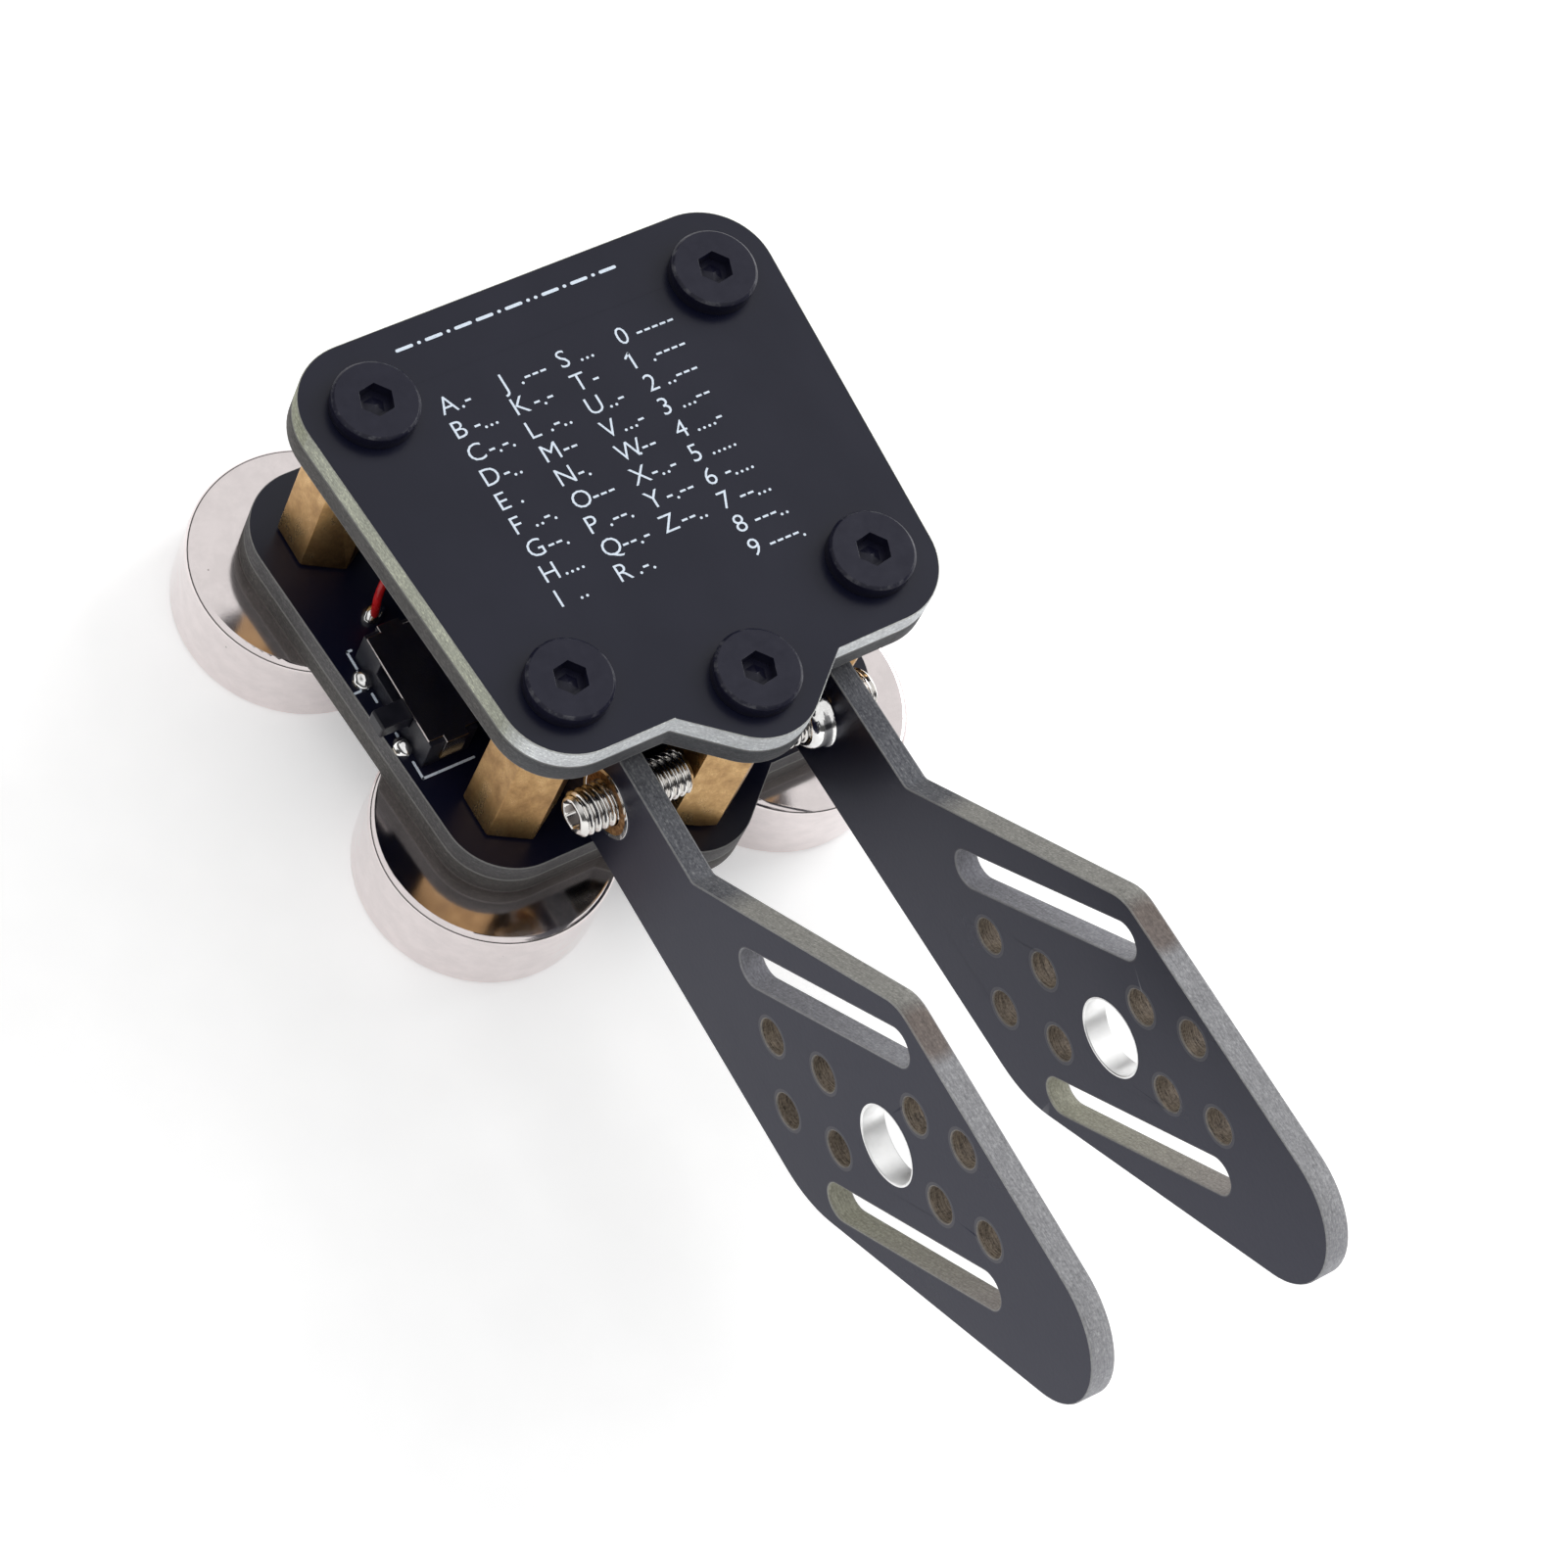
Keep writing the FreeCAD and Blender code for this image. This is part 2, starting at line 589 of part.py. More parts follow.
def hole_group(group):
    """Four small holes at the points of a leaning diamond."""
    reach = f"-Dims.{group}_reach"
    level = f"Dims.{group}_level"
    along = f"Dims.{group}_along"
    up = f"Dims.{group}_up"
    lean = f"Dims.{group}_lean"
    return [
        (f"{reach} + {along}", level),
        (f"{reach} - {along}", level),
        (f"{reach} - {lean}", f"{level} + {up}"),
        (f"{reach} + {lean}", f"{level} - {up}"),
    ]


def paddle(label, side):
    """A paddle board on edge, drawn about its pivot axis."""
    body = new_body(label)
    outline = new_sketch(body, "outline", "YZ_Plane")
    paddle_outline(outline)
    pad(body, outline, "Dims.board_thickness", middle=True)
    through = FreeCAD.Vector(1, 0, 0)
    half_slope = math.radians(value("under_slope") / 2)
    height = value("paddle_crown") - value("paddle_bottom")
    nose = value("nose_reach") - value("nose_round") + value("nose_round") / math.tan(half_slope)
    under = nose - height / math.tan(2 * half_slope)
    rounds = [
        ("Dims.nose_round", nose, value("paddle_crown")),
        ("Dims.under_round", under, value("paddle_bottom")),
        ("Dims.crown_round", value("crown_reach"), value("paddle_crown")),
        ("Dims.crook_round", value("crook_reach"), value("neck_top")),
    ]
    for size, reach, level in rounds:
        at_corner = lambda middle: near(middle, -reach, level)
        dress(body, "Fillet", straight_edges(body.Tip.Shape, through, at_corner), size)
    slots = [
        ("Dims.upper_slot_reach", "Dims.upper_slot_level"),
        ("Dims.lower_slot_reach", "Dims.lower_slot_level"),
    ]
    slot_sides = new_sketch(body, "slots", "YZ_Plane")
    for reach, level in slots:
        draw_polygon(slot_sides, slot_corners(reach, level))
    pocket(body, slot_sides, middle=True)
    holes = new_sketch(body, "holes", "YZ_Plane")
    for reach, level in slots:
        for centre in slot_ends(reach, level):
            draw_circle(holes, centre, "Dims.slot_width")
    for centre in hole_group("near_group") + hole_group("far_group"):
        draw_circle(holes, centre, "Dims.small_hole")
    draw_circle(holes, ("-Dims.eye_reach", "Dims.eye_level"), "Dims.eye_diameter")
    draw_circle(holes, (f"-{SCREW_REACH}", "Dims.bush_level"), "Dims.bush_shank")
    pocket(body, holes, middle=True)
    place_on_paddle(body, side)
    return body


def threaded_bush(label, side):
    """A solder-in M3 bush: its shank fills the board, its collar stands on the inner face."""
    body = new_body(label)
    centre = (f"-{SCREW_REACH}", "Dims.bush_level")
    shank = new_sketch(body, "shank", "YZ_Plane")
    draw_circle(shank, centre, "Dims.bush_shank")
    pad(body, shank, "Dims.board_thickness", middle=True)
    inner_face = f"{-side} * Dims.board_thickness / 2"
    collar = new_sketch(body, "collar", "YZ_Plane", inner_face)
    draw_circle(collar, centre, "Dims.bush_collar")
    pad(body, collar, "Dims.bush_collar_height", backwards=side > 0)
    bore = new_sketch(body, "bore", "YZ_Plane")
    draw_circle(bore, centre, "Dims.bush_bore")
    pocket(body, bore, middle=True)
    place_on_paddle(body, side)
    return body


def return_magnet(label, side):
    """A small disc magnet glued to the paddle's inner face; the two repel each other."""
    body = new_body(label)
    inner_face = f"{-side} * Dims.board_thickness / 2"
    disc = new_sketch(body, "disc", "YZ_Plane", inner_face)
    draw_circle(disc, ("-Dims.return_reach", "Dims.bush_level"), "Dims.return_magnet")
    pad(body, disc, "Dims.return_magnet_height", backwards=side > 0)
    place_on_paddle(body, side)
    return body


def contact_screw(label, side):
    """An M3 set screw: thread as rings, flat tip towards the post, socket on the outer end."""
    body = new_body(label)
    half_root = "Dims.thread_root / 2"
    half_crest = "Dims.screw_thread / 2"
    cone = "((Dims.screw_thread - Dims.contact_tip) / 2)"
    threaded = value("contact_screw_length") - value("plain_end")
    turns = int(round(threaded / value("thread_pitch")))
    profile = [("0", "0"), ("Dims.contact_tip / 2", "0"), (half_crest, cone)]
    for turn in range(turns):
        start = f"{cone} + {turn} * Dims.thread_pitch"
        profile.append((half_crest, f"{start} + Dims.thread_pitch * Dims.thread_crest"))
        profile.append((half_root, f"{start} + Dims.thread_pitch * Dims.thread_valley"))
        profile.append((half_crest, f"{start} + Dims.thread_pitch"))
    profile.append((half_crest, "Dims.contact_screw_length - Dims.head_chamfer"))
    profile.append((f"{half_crest} - Dims.head_chamfer", "Dims.contact_screw_length"))
    profile.append(("0", "Dims.contact_screw_length"))
    turned(body, "profile", profile)
    socket = new_sketch(body, "socket", offset="Dims.contact_screw_length")
    draw_hexagon(socket, ("0", "0"), "Dims.contact_hex")
    pocket(body, socket, "Dims.contact_hex_depth")
    return body


def place_contact_screw(body, side):
    """Lay the set screw across the paddle, its tip one contact gap away from the post's flat."""
    splay = math.atan(
        (value("front_hole_half") - value("standoff_flats") / 2 - value("rest_gap")
         - value("board_thickness") / 2 - value("pivot_half"))
        / (value("row_half") + value("pivot_back"))
    )
    reach = value("row_half") + value("screw_ahead") + value("pivot_back")
    outward = FreeCAD.Vector(side * math.cos(splay), math.sin(splay), 0)
    on_board = FreeCAD.Vector(
        side * (value("pivot_half") + reach * math.sin(splay)),
        value("pivot_back") - reach * math.cos(splay),
        value("bush_level"),
    )
    tip_x = value("standoff_flats") / 2 + value("contact_gap")
    back = (abs(on_board.x) - tip_x) / math.cos(splay)
    turn = FreeCAD.Rotation(FreeCAD.Vector(0, 0, 1), outward)
    body.Placement = FreeCAD.Placement(on_board - outward * back, turn)


# ---------------------------------------------------------------- slide switch

def switch_body():
    """Plastic housing with a window for the actuator on the outer side, open up to the cover."""
    body = new_body("switch_body")
    block = new_sketch(body, "block")
    draw_rectangle(
        block,
        "-Dims.switch_width / 2",
        "Dims.switch_width / 2 - Dims.shell_sheet",
        "-Dims.switch_length / 2",
        "Dims.switch_length / 2",
    )
    pad(body, block, "Dims.switch_height - Dims.shell_sheet")
    window = new_sketch(body, "window", "YZ_Plane", "-Dims.switch_width / 2")
    draw_rectangle(
        window,
        "-(Dims.switch_travel + Dims.slider_width) / 2 - Dims.slider_play",
        "(Dims.switch_travel + Dims.slider_width) / 2 + Dims.slider_play",
        "Dims.slider_level - Dims.slider_play",
        "Dims.switch_height - Dims.shell_sheet",
    )
    pocket(body, window, "Dims.slider_in + 2 * Dims.slider_play", backwards=True)
    place(body, "Dims.switch_x", "Dims.switch_y", DECK)
    return body


def switch_shell():
    """Bent sheet cover over the top and inner side of the housing, with a tongue over each end."""
    body = new_body("switch_shell")
    section = new_sketch(body, "section", "XZ_Plane")
    right = "Dims.switch_width / 2"
    inside = f"{right} - Dims.shell_sheet"
    left = f"-{right}"
    under = "Dims.switch_height - Dims.shell_sheet"
    draw_polygon(section, [
        (left, "Dims.switch_height"),
        (left, under),
        (inside, under),
        (inside, "0"),
        (right, "0"),
        (right, "Dims.switch_height"),
    ])
    pad(body, section, "Dims.switch_length - Dims.shell_short", middle=True)
    half_tongue = "Dims.tongue_width / 2"
    strip = new_sketch(body, "strip", "XZ_Plane")
    draw_rectangle(strip, f"-{half_tongue}", half_tongue, under, "Dims.switch_height")
    pad(body, strip, "Dims.switch_length + 2 * Dims.shell_sheet", middle=True)
    for end, side in (("front", 1), ("rear", -1)):
        tongue = new_sketch(body, f"{end}_tongue", "XZ_Plane", f"{side} * Dims.switch_length / 2")
        draw_rectangle(tongue, f"-{half_tongue}", half_tongue, "Dims.tongue_low", "Dims.switch_height")
        pad(body, tongue, "Dims.shell_sheet", backwards=side < 0)
    place(body, "Dims.switch_x", "Dims.switch_y", DECK)
    return body


def switch_slider():
    """The actuator: a block in the window and a finger that sticks out over the board's edge."""
    body = new_body("switch_slider")
    finger = new_sketch(body, "finger")
    draw_rectangle(
        finger,
        "-Dims.switch_width / 2 - Dims.slider_out",
        "-Dims.switch_width / 2 + Dims.slider_in",
        "-Dims.slider_width / 2",
        "Dims.slider_width / 2",
    )
    pad(body, finger, "Dims.slider_height")
    place(
        body,
        "Dims.switch_x",
        "Dims.switch_y - Dims.switch_travel / 2",
        f"{DECK} + Dims.slider_level",
    )
    return body


def switch_pins():
    """Three terminals on the inner side and two lugs on the outer side, bent onto the board."""
    body = new_body("switch_pins")
    pins = new_sketch(body, "pins")
    for step in (-1, 0, 1):
        middle = f"{step} * Dims.pin_pitch"
        draw_rectangle(
            pins,
            "Dims.switch_width / 2",
            "Dims.switch_width / 2 + 2 * Dims.pin_width",
            f"{middle} - Dims.pin_width / 2",
            f"{middle} + Dims.pin_width / 2",
        )
    for side in (-1, 1):
        middle = f"{side} * Dims.lug_pitch / 2"
        draw_rectangle(
            pins,
            "-Dims.switch_width / 2 - 2 * Dims.pin_width",
            "-Dims.switch_width / 2",
            f"{middle} - Dims.pin_width / 2",
            f"{middle} + Dims.pin_width / 2",
        )
    pad(body, pins, "Dims.shell_sheet")
    place(body, "Dims.switch_x", "Dims.switch_y", DECK)
    return body


# ---------------------------------------------------------------- socket for the cable plug

def jack_body():
    """Plastic housing with its mouth at the body's origin and its bore along -Y."""
    body = new_body("jack_body")
    block = new_sketch(body, "block", "XZ_Plane")
    draw_rectangle(block, "-Dims.jack_width / 2", "Dims.jack_width / 2", "0", "Dims.jack_height")
    pad(body, block, "Dims.jack_length")
    bore = new_sketch(body, "bore", "XZ_Plane")
    draw_circle(bore, ("0", "Dims.jack_height / 2"), "Dims.jack_bore")
    pocket(body, bore, "Dims.jack_bore_length", backwards=True)
    place(body, y="Dims.rear_edge - Dims.jack_setback", z=DECK)
    return body


def jack_nose():
    """Metal nose round the mouth of the socket, standing out past the rear edge."""
    body = new_body("jack_nose")
    ring = new_sketch(body, "ring", "XZ_Plane")
    draw_circle(ring, ("0", "Dims.jack_height / 2"), "Dims.jack_nose")
    draw_circle(ring, ("0", "Dims.jack_height / 2"), "Dims.jack_bore")
    pad(body, ring, "Dims.jack_setback + Dims.jack_nose_length", backwards=True)
    place(body, y="Dims.rear_edge - Dims.jack_setback", z=DECK)
    return body


def jack_contacts():
    """Three contact springs: two on the left flank and one on the right flank of the housing."""
    body = new_body("jack_contacts")
    for number, side in enumerate((-1, 1, -1)):
        setback = f"Dims.spring_setback + {number} * Dims.spring_step"
        strip = new_sketch(body, f"strip_{number}", "XZ_Plane", setback)
        flank = f"{side} * Dims.jack_width / 2"
        outer = f"{side} * (Dims.jack_width / 2 + Dims.contact_sheet)"
        draw_rectangle(strip, flank, outer, "0", "Dims.jack_height / 2")
        pad(body, strip, "Dims.contact_spring_width")
    place(body, y="Dims.rear_edge - Dims.jack_setback", z=DECK)
    return body


# ---------------------------------------------------------------- wires

def paddle_wire(label, side):
    """An insulated wire from its pad on the base board up to the heel of a paddle."""
    deck = value("magnet_height") + 2 * value("board_thickness")
    pad_x = side * value("wire_pad_x")
    pad_y = value("wire_pad_y")
    reach_x = side * (value("pivot_half") + value("board_thickness") / 2 + value("wire_clear"))
    bend = value("wire_turn")
    points = [
        FreeCAD.Vector(pad_x, pad_y, deck),
        FreeCAD.Vector(pad_x, pad_y + value("wire_lean"), deck + value("wire_low")),
        FreeCAD.Vector(pad_x - side * bend, pad_y + bend, deck + value("wire_bend")),
        FreeCAD.Vector(reach_x, value("pivot_back") + value("wire_end_back"), deck + value("wire_end")),
    ]
    upward = FreeCAD.Vector(0, 0, 1)
    inward = FreeCAD.Vector(-side, 0, 0)
    path = Part.BSplineCurve()
    path.interpolate(points, InitialTangent=upward, FinalTangent=inward)
    section = Part.Wire(Part.makeCircle(value("wire_diameter") / 2, points[0], upward))
    wire = DOC.addObject("Part::Feature", label)
    wire.Label = label
    wire.Shape = Part.Wire(path.toShape()).makePipeShell([section], True, False)
    SUB_PARTS.append(wire)
    return wire


# ---------------------------------------------------------------- assembly

plate("base_plate_outer", BASE_OUTER, with_pivots=False)
plate("base_plate_inner", BASE_INNER, with_pivots=True)
plate("top_plate_inner", TOP_INNER, with_pivots=True)
plate("top_plate_outer", TOP_OUTER, with_pivots=False)
standoffs("corner_standoffs", CORNERS)
contact_post()
low_head_screws()
base_magnets()
countersunk_screws()
post_screw()
for side_name, side in (("left", -1), ("right", 1)):
    paddle(f"{side_name}_paddle", side)
    threaded_bush(f"{side_name}_threaded_bush", side)
    return_magnet(f"{side_name}_return_magnet", side)
    place_contact_screw(contact_screw(f"{side_name}_contact_screw", side), side)
    paddle_wire(f"{side_name}_wire", side)
switch_body()
switch_shell()
switch_slider()
switch_pins()
jack_body()
jack_nose()
jack_contacts()

DOC.recompute()
for item in DOC.Objects:
    if "Invalid" in item.State or "Error" in item.State:
        raise RuntimeError(f"{item.Name} failed: {item.State}")
os.makedirs("parts", exist_ok=True)
for item in SUB_PARTS:
    if item.Shape.isNull() or not item.Shape.isValid():
        raise RuntimeError(f"{item.Label} has no valid shape")
    item.Shape.exportStep(os.path.join("parts", f"{item.Label}.step"))
    print(item.Label, len(item.Shape.Solids), round(item.Shape.Volume, 2))
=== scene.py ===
"""Looks of the twin-paddle morse key: materials, printed legend, solder, threads, light and camera.

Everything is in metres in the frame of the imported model: +X right, +Y away from the operator, +Z up.
"""
import json
import math
import random

import bmesh
import bpy
from mathutils import Matrix, Vector, noise


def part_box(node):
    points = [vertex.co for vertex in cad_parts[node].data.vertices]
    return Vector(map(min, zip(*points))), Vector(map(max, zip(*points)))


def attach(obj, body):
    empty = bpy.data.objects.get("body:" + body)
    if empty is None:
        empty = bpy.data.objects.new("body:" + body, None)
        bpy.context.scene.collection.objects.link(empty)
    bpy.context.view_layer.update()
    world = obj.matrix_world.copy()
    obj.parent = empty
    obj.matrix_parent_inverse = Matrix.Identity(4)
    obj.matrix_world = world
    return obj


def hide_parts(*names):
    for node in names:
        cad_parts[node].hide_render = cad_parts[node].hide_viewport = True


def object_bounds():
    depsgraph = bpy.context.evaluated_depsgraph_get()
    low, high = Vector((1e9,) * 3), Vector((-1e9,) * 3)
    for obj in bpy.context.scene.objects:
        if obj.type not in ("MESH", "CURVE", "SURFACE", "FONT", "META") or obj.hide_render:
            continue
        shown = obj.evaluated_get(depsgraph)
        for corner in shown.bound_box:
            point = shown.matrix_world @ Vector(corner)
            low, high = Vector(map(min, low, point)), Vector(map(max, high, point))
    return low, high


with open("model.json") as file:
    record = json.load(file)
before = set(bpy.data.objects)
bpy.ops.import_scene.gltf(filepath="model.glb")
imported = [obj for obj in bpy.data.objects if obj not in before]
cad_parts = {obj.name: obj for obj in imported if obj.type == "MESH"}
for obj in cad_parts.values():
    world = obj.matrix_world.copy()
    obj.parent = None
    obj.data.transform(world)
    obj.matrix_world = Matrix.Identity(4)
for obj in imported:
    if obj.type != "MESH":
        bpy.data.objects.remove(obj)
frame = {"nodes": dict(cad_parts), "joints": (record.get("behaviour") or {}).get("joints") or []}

CAD_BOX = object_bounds()
MM = 0.001
NODES = frame["nodes"]
JOINTS = {joint["name"]: joint for joint in frame["joints"]}
UP = Vector((0, 0, 1))

SIDES = {"left": -1, "right": 1}

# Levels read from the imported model
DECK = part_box("base_plate_inner")[1].z
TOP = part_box("top_plate_outer")[1].z
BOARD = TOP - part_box("top_plate_outer")[0].z

# The top screws' heads and hexagonal sockets
SCREW_HEAD = 5.5 * MM
SOCKET_FLATS = 2.0 * MM
SOCKET_CORNER = SOCKET_FLATS / math.sqrt(3)
SOCKET_DEPTH = 0.9 * MM

# The soldered bushes, each with a tinned border round a browned pad on the outer face
BUSH_BORE = 1.52 * MM
PAD_RADIUS = 2.12 * MM
BORDER_RADIUS = 2.42 * MM

# The large plated hole of each paddle: reach from the pivot, level above the table
EYE_REACH = 49.2 * MM
EYE_LEVEL = 24.4 * MM
EYE_RADIUS = 2.5 * MM

# How far from a level a vertex may be and still count as lying on it
TOLERANCE = 0.02 * MM


# ---------------------------------------------------------------- places on the key

def outward(name):
    """The direction out of a paddle's outer face, which is the axis of its contact screw."""
    return Vector(JOINTS[f"{name}_screw_adjust"]["axis"]).normalized()


def on_paddle(name, reach, level):
    """A point on a paddle's middle plane: reach from its pivot, level above the table."""
    side = SIDES[name]
    across = outward(name)
    ahead = Vector((across.y * side, -across.x * side, 0))
    pivot = Vector(JOINTS[f"{name}_paddle_press"]["pos_m"])
    point = pivot + ahead * reach
    return Vector((point.x, point.y, level))


def middle(node):
    """The middle of a node's box."""
    low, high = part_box(node)
    return (low + high) / 2


def disc_centres(node, level, apart):
    """Centres of the separate round parts of a node whose top faces lie on one level."""
    groups = []
    for vertex in NODES[node].data.vertices:
        spot = vertex.co
        if abs(spot.z - level) > TOLERANCE:
            continue
        for group in groups:
            if (group[0] - spot).length < apart:
                group.append(spot.copy())
                break
        else:
            groups.append([spot.copy()])
    centres = []
    for group in groups:
        xs = [spot.x for spot in group]
        ys = [spot.y for spot in group]
        centres.append(Vector(((min(xs) + max(xs)) / 2, (min(ys) + max(ys)) / 2, level)))
    return centres


# ---------------------------------------------------------------- node materials

class Finish:
    """A node material with one Principled surface, and helpers that add and join nodes."""

    def __init__(self, name):
        self.material = bpy.data.materials.new(name)
        self.material.use_nodes = True
        self.tree = self.material.node_tree
        self.surface = self.tree.nodes["Principled BSDF"]
        self.spot = self.node("ShaderNodeTexCoord").outputs["Object"]

    def node(self, kind, **settings):
        made = self.tree.nodes.new(kind)
        for name, setting in settings.items():
            setattr(made, name, setting)
        return made

    def feed(self, socket, source):
        """Give a socket a plain value, or join it to another node's output."""
        if isinstance(source, bpy.types.NodeSocket):
            self.tree.links.new(source, socket)
        else:
            socket.default_value = source

    def set(self, **inputs):
        """Feed the surface's inputs; an underscore in a name stands for a space."""
        for name, source in inputs.items():
            self.feed(self.surface.inputs[name.replace("_", " ")], source)
        return self

    def math(self, operation, first, second=0.0, third=0.0):
        """The result of one sum on one to three numbers."""
        made = self.node("ShaderNodeMath", operation=operation)
        for socket, source in zip(made.inputs, (first, second, third)):
            self.feed(socket, source)
        return made.outputs[0]

    def clamped(self, value):
        """A number kept between 0 and 1."""
        return self.math("MAXIMUM", self.math("MINIMUM", value, 1.0), 0.0)

    def dot(self, vector, direction):
        """How far a vector reaches along a direction."""
        made = self.node("ShaderNodeVectorMath", operation="DOT_PRODUCT")
        self.feed(made.inputs[0], vector)
        made.inputs[1].default_value = direction
        return made.outputs["Value"]

    def fading(self, distance, radius):
        """1 at no distance, falling to 0 at a radius."""
        made = self.node("ShaderNodeMapRange")
        self.feed(made.inputs["Value"], distance)
        made.inputs["From Min"].default_value = radius
        made.inputs["From Max"].default_value = 0.0
        return made.outputs["Result"]

    def stretched(self, sizes):
        """The object's coordinates, divided by a size for each axis."""
        made = self.node("ShaderNodeVectorMath", operation="DIVIDE")
        self.feed(made.inputs[0], self.spot)
        made.inputs[1].default_value = sizes
        return made.outputs[0]

    def grain(self, sizes, detail=4.0, rough=0.55):
        """Noise from 0 to 1, with one size of detail for each axis in metres."""
        made = self.node("ShaderNodeTexNoise")
        self.feed(made.inputs["Vector"], self.stretched(sizes))
        made.inputs["Scale"].default_value = 1.0
        made.inputs["Detail"].default_value = detail
        made.inputs["Roughness"].default_value = rough
        return made.outputs["Fac"]

    def steps(self, factor, *stops):
        """A colour ramp through (place, grey or colour) stops."""
        made = self.node("ShaderNodeValToRGB")
        self.feed(made.inputs["Fac"], factor)
        ramp = made.color_ramp
        while len(ramp.elements) < len(stops):
            ramp.elements.new(0.5)
        for element, (place, colour) in zip(ramp.elements, stops):
            element.position = place
            if isinstance(colour, tuple):
                element.color = (*colour, 1.0)
            else:
                element.color = (colour, colour, colour, 1.0)
        return made.outputs["Color"]

    def mix(self, factor, first, second, blend_type="MIX"):
        """The first colour where the factor is 0, the second where it is 1."""
        made = self.node("ShaderNodeMix", data_type="RGBA", blend_type=blend_type)
        self.feed(made.inputs[0], factor)
        for socket, source in ((made.inputs[6], first), (made.inputs[7], second)):
            self.feed(socket, (*source, 1.0) if isinstance(source, tuple) else source)
        return made.outputs[2]

    def times(self, first, second):
        """Two colours multiplied."""
        return self.mix(1.0, first, second, "MULTIPLY")

    def bumpy(self, height, depth):
        """Raise the surface by height (0 to 1) times depth in metres."""
        made = self.node("ShaderNodeBump")
        made.inputs["Distance"].default_value = depth
        self.feed(made.inputs["Height"], height)
        self.feed(self.surface.inputs["Normal"], made.outputs["Normal"])
        return self

    def facing(self, direction):
        """How squarely the face looks along a direction of the object: 1 square on, 0 edge on."""
        face = self.node("ShaderNodeNewGeometry").outputs["True Normal"]
        own = self.node("ShaderNodeVectorTransform", vector_type="NORMAL",
                        convert_from="WORLD", convert_to="OBJECT")
        self.feed(own.inputs[0], face)
        return self.dot(own.outputs[0], direction)

    def near(self, centre, radius):
        """1 at a point of the object, falling to 0 at a radius."""
        away = self.node("ShaderNodeVectorMath", operation="DISTANCE")
        self.feed(away.inputs[0], self.spot)
        away.inputs[1].default_value = centre
        return self.fading(away.outputs["Value"], radius)

    def beside(self, start, end, radius):
        """1 on the line between two points of the object, falling to 0 at a radius.

        The second output is the place along the line: 0 at the start, 1 at the end.
        """
        span = Vector(end) - Vector(start)
        away = self.node("ShaderNodeVectorMath", operation="SUBTRACT")
        self.feed(away.inputs[0], self.spot)
        away.inputs[1].default_value = start
        part = self.clamped(self.dot(away.outputs[0], span / span.length_squared))
        foot = self.node("ShaderNodeVectorMath", operation="SCALE")
        foot.inputs[0].default_value = span
        self.feed(foot.inputs["Scale"], part)
        gap = self.node("ShaderNodeVectorMath", operation="DISTANCE")
        self.feed(gap.inputs[0], away.outputs[0])
        self.feed(gap.inputs[1], foot.outputs[0])
        return self.fading(gap.outputs["Value"], radius), part

    def bundles(self, sizes):
        """1 in the middle of each glass-fibre bundle cut end on, 0 between them."""
        made = self.node("ShaderNodeTexVoronoi")
        self.feed(made.inputs["Vector"], self.stretched(sizes))
        made.inputs["Scale"].default_value = 1.0
        return self.steps(made.outputs["Distance"], (0.12, 1.0), (0.50, 0.0))

    def specks(self, spacing, radius, share):
        """1 on sparse round specks of dust, 0 elsewhere."""
        made = self.node("ShaderNodeTexVoronoi")
        self.feed(made.inputs["Vector"], self.stretched((spacing, spacing, spacing)))
        made.inputs["Scale"].default_value = 1.0
        close = self.math("LESS_THAN", made.outputs["Distance"], radius / spacing)
        picked = self.node("ShaderNodeSeparateColor")
        self.feed(picked.inputs[0], made.outputs["Color"])
        return self.math("MULTIPLY", close, self.math("LESS_THAN", picked.outputs[0], share))


# Solder mask: (colour, haze), then (index of refraction, tint of what it reflects)
PLATE_MASK = ((0.0025, 0.0032, 0.0145), (0.0045, 0.0052, 0.0180))
PADDLE_MASK = ((0.0036, 0.0042, 0.0125), (0.0052, 0.0058, 0.0150))
PLATE_GLOSS = (1.42, (1.0, 1.0, 1.0))
PADDLE_GLOSS = (1.36, (0.58, 0.60, 1.0))
DUST_COLOUR = (0.22, 0.22, 0.23)

# Faces that look along the board's normal at least this squarely carry the mask
FACE_ON = 0.97

# Sawn laminate: size of its layers, of the bundles of fibre cut end on, and of their frayed ends
LAYER_HEIGHT = 0.075 * MM
LAYER_WIDTH = 0.9 * MM
BUNDLE_HEIGHT = 0.15 * MM
BUNDLE_WIDTH = 0.34 * MM
FRAY = 0.16 * MM
SAWN_DARK = (0.050, 0.050, 0.052)
SAWN_GREY = (0.135, 0.135, 0.138)
SAWN_PALE = (0.33, 0.33, 0.32)
PATCH_SHARE = 0.85      # of a patch's colour in the sawn edge
PAINTED_LIGHT_SHARE = 0.45      # of even grey on edges that look towards the operator, painted light
FORWARD_GAIN = 1.6      # how soon an edge counts as looking towards the operator
RIM = 0.10 * MM         # pale, chipped band of the edge beside each face
RIM_SHARE = 0.42

# Walls of holes and the thin lip round them
DRILLED_REACH = 2.0 * MM
DRILLED_WALL = 0.08     # least closeness of a wall: 1 at the hole's middle, 0 at its reach
DRILLED_LIP = 0.185     # least closeness of a lip
DRILLED_DARK = (0.036, 0.030, 0.022)
DRILLED_PALE = (0.300, 0.245, 0.180)
SLOT_EDGE = 1.6 * MM
LIP_COLOUR = (0.115, 0.110, 0.105)
LIP_SHARE = 0.38


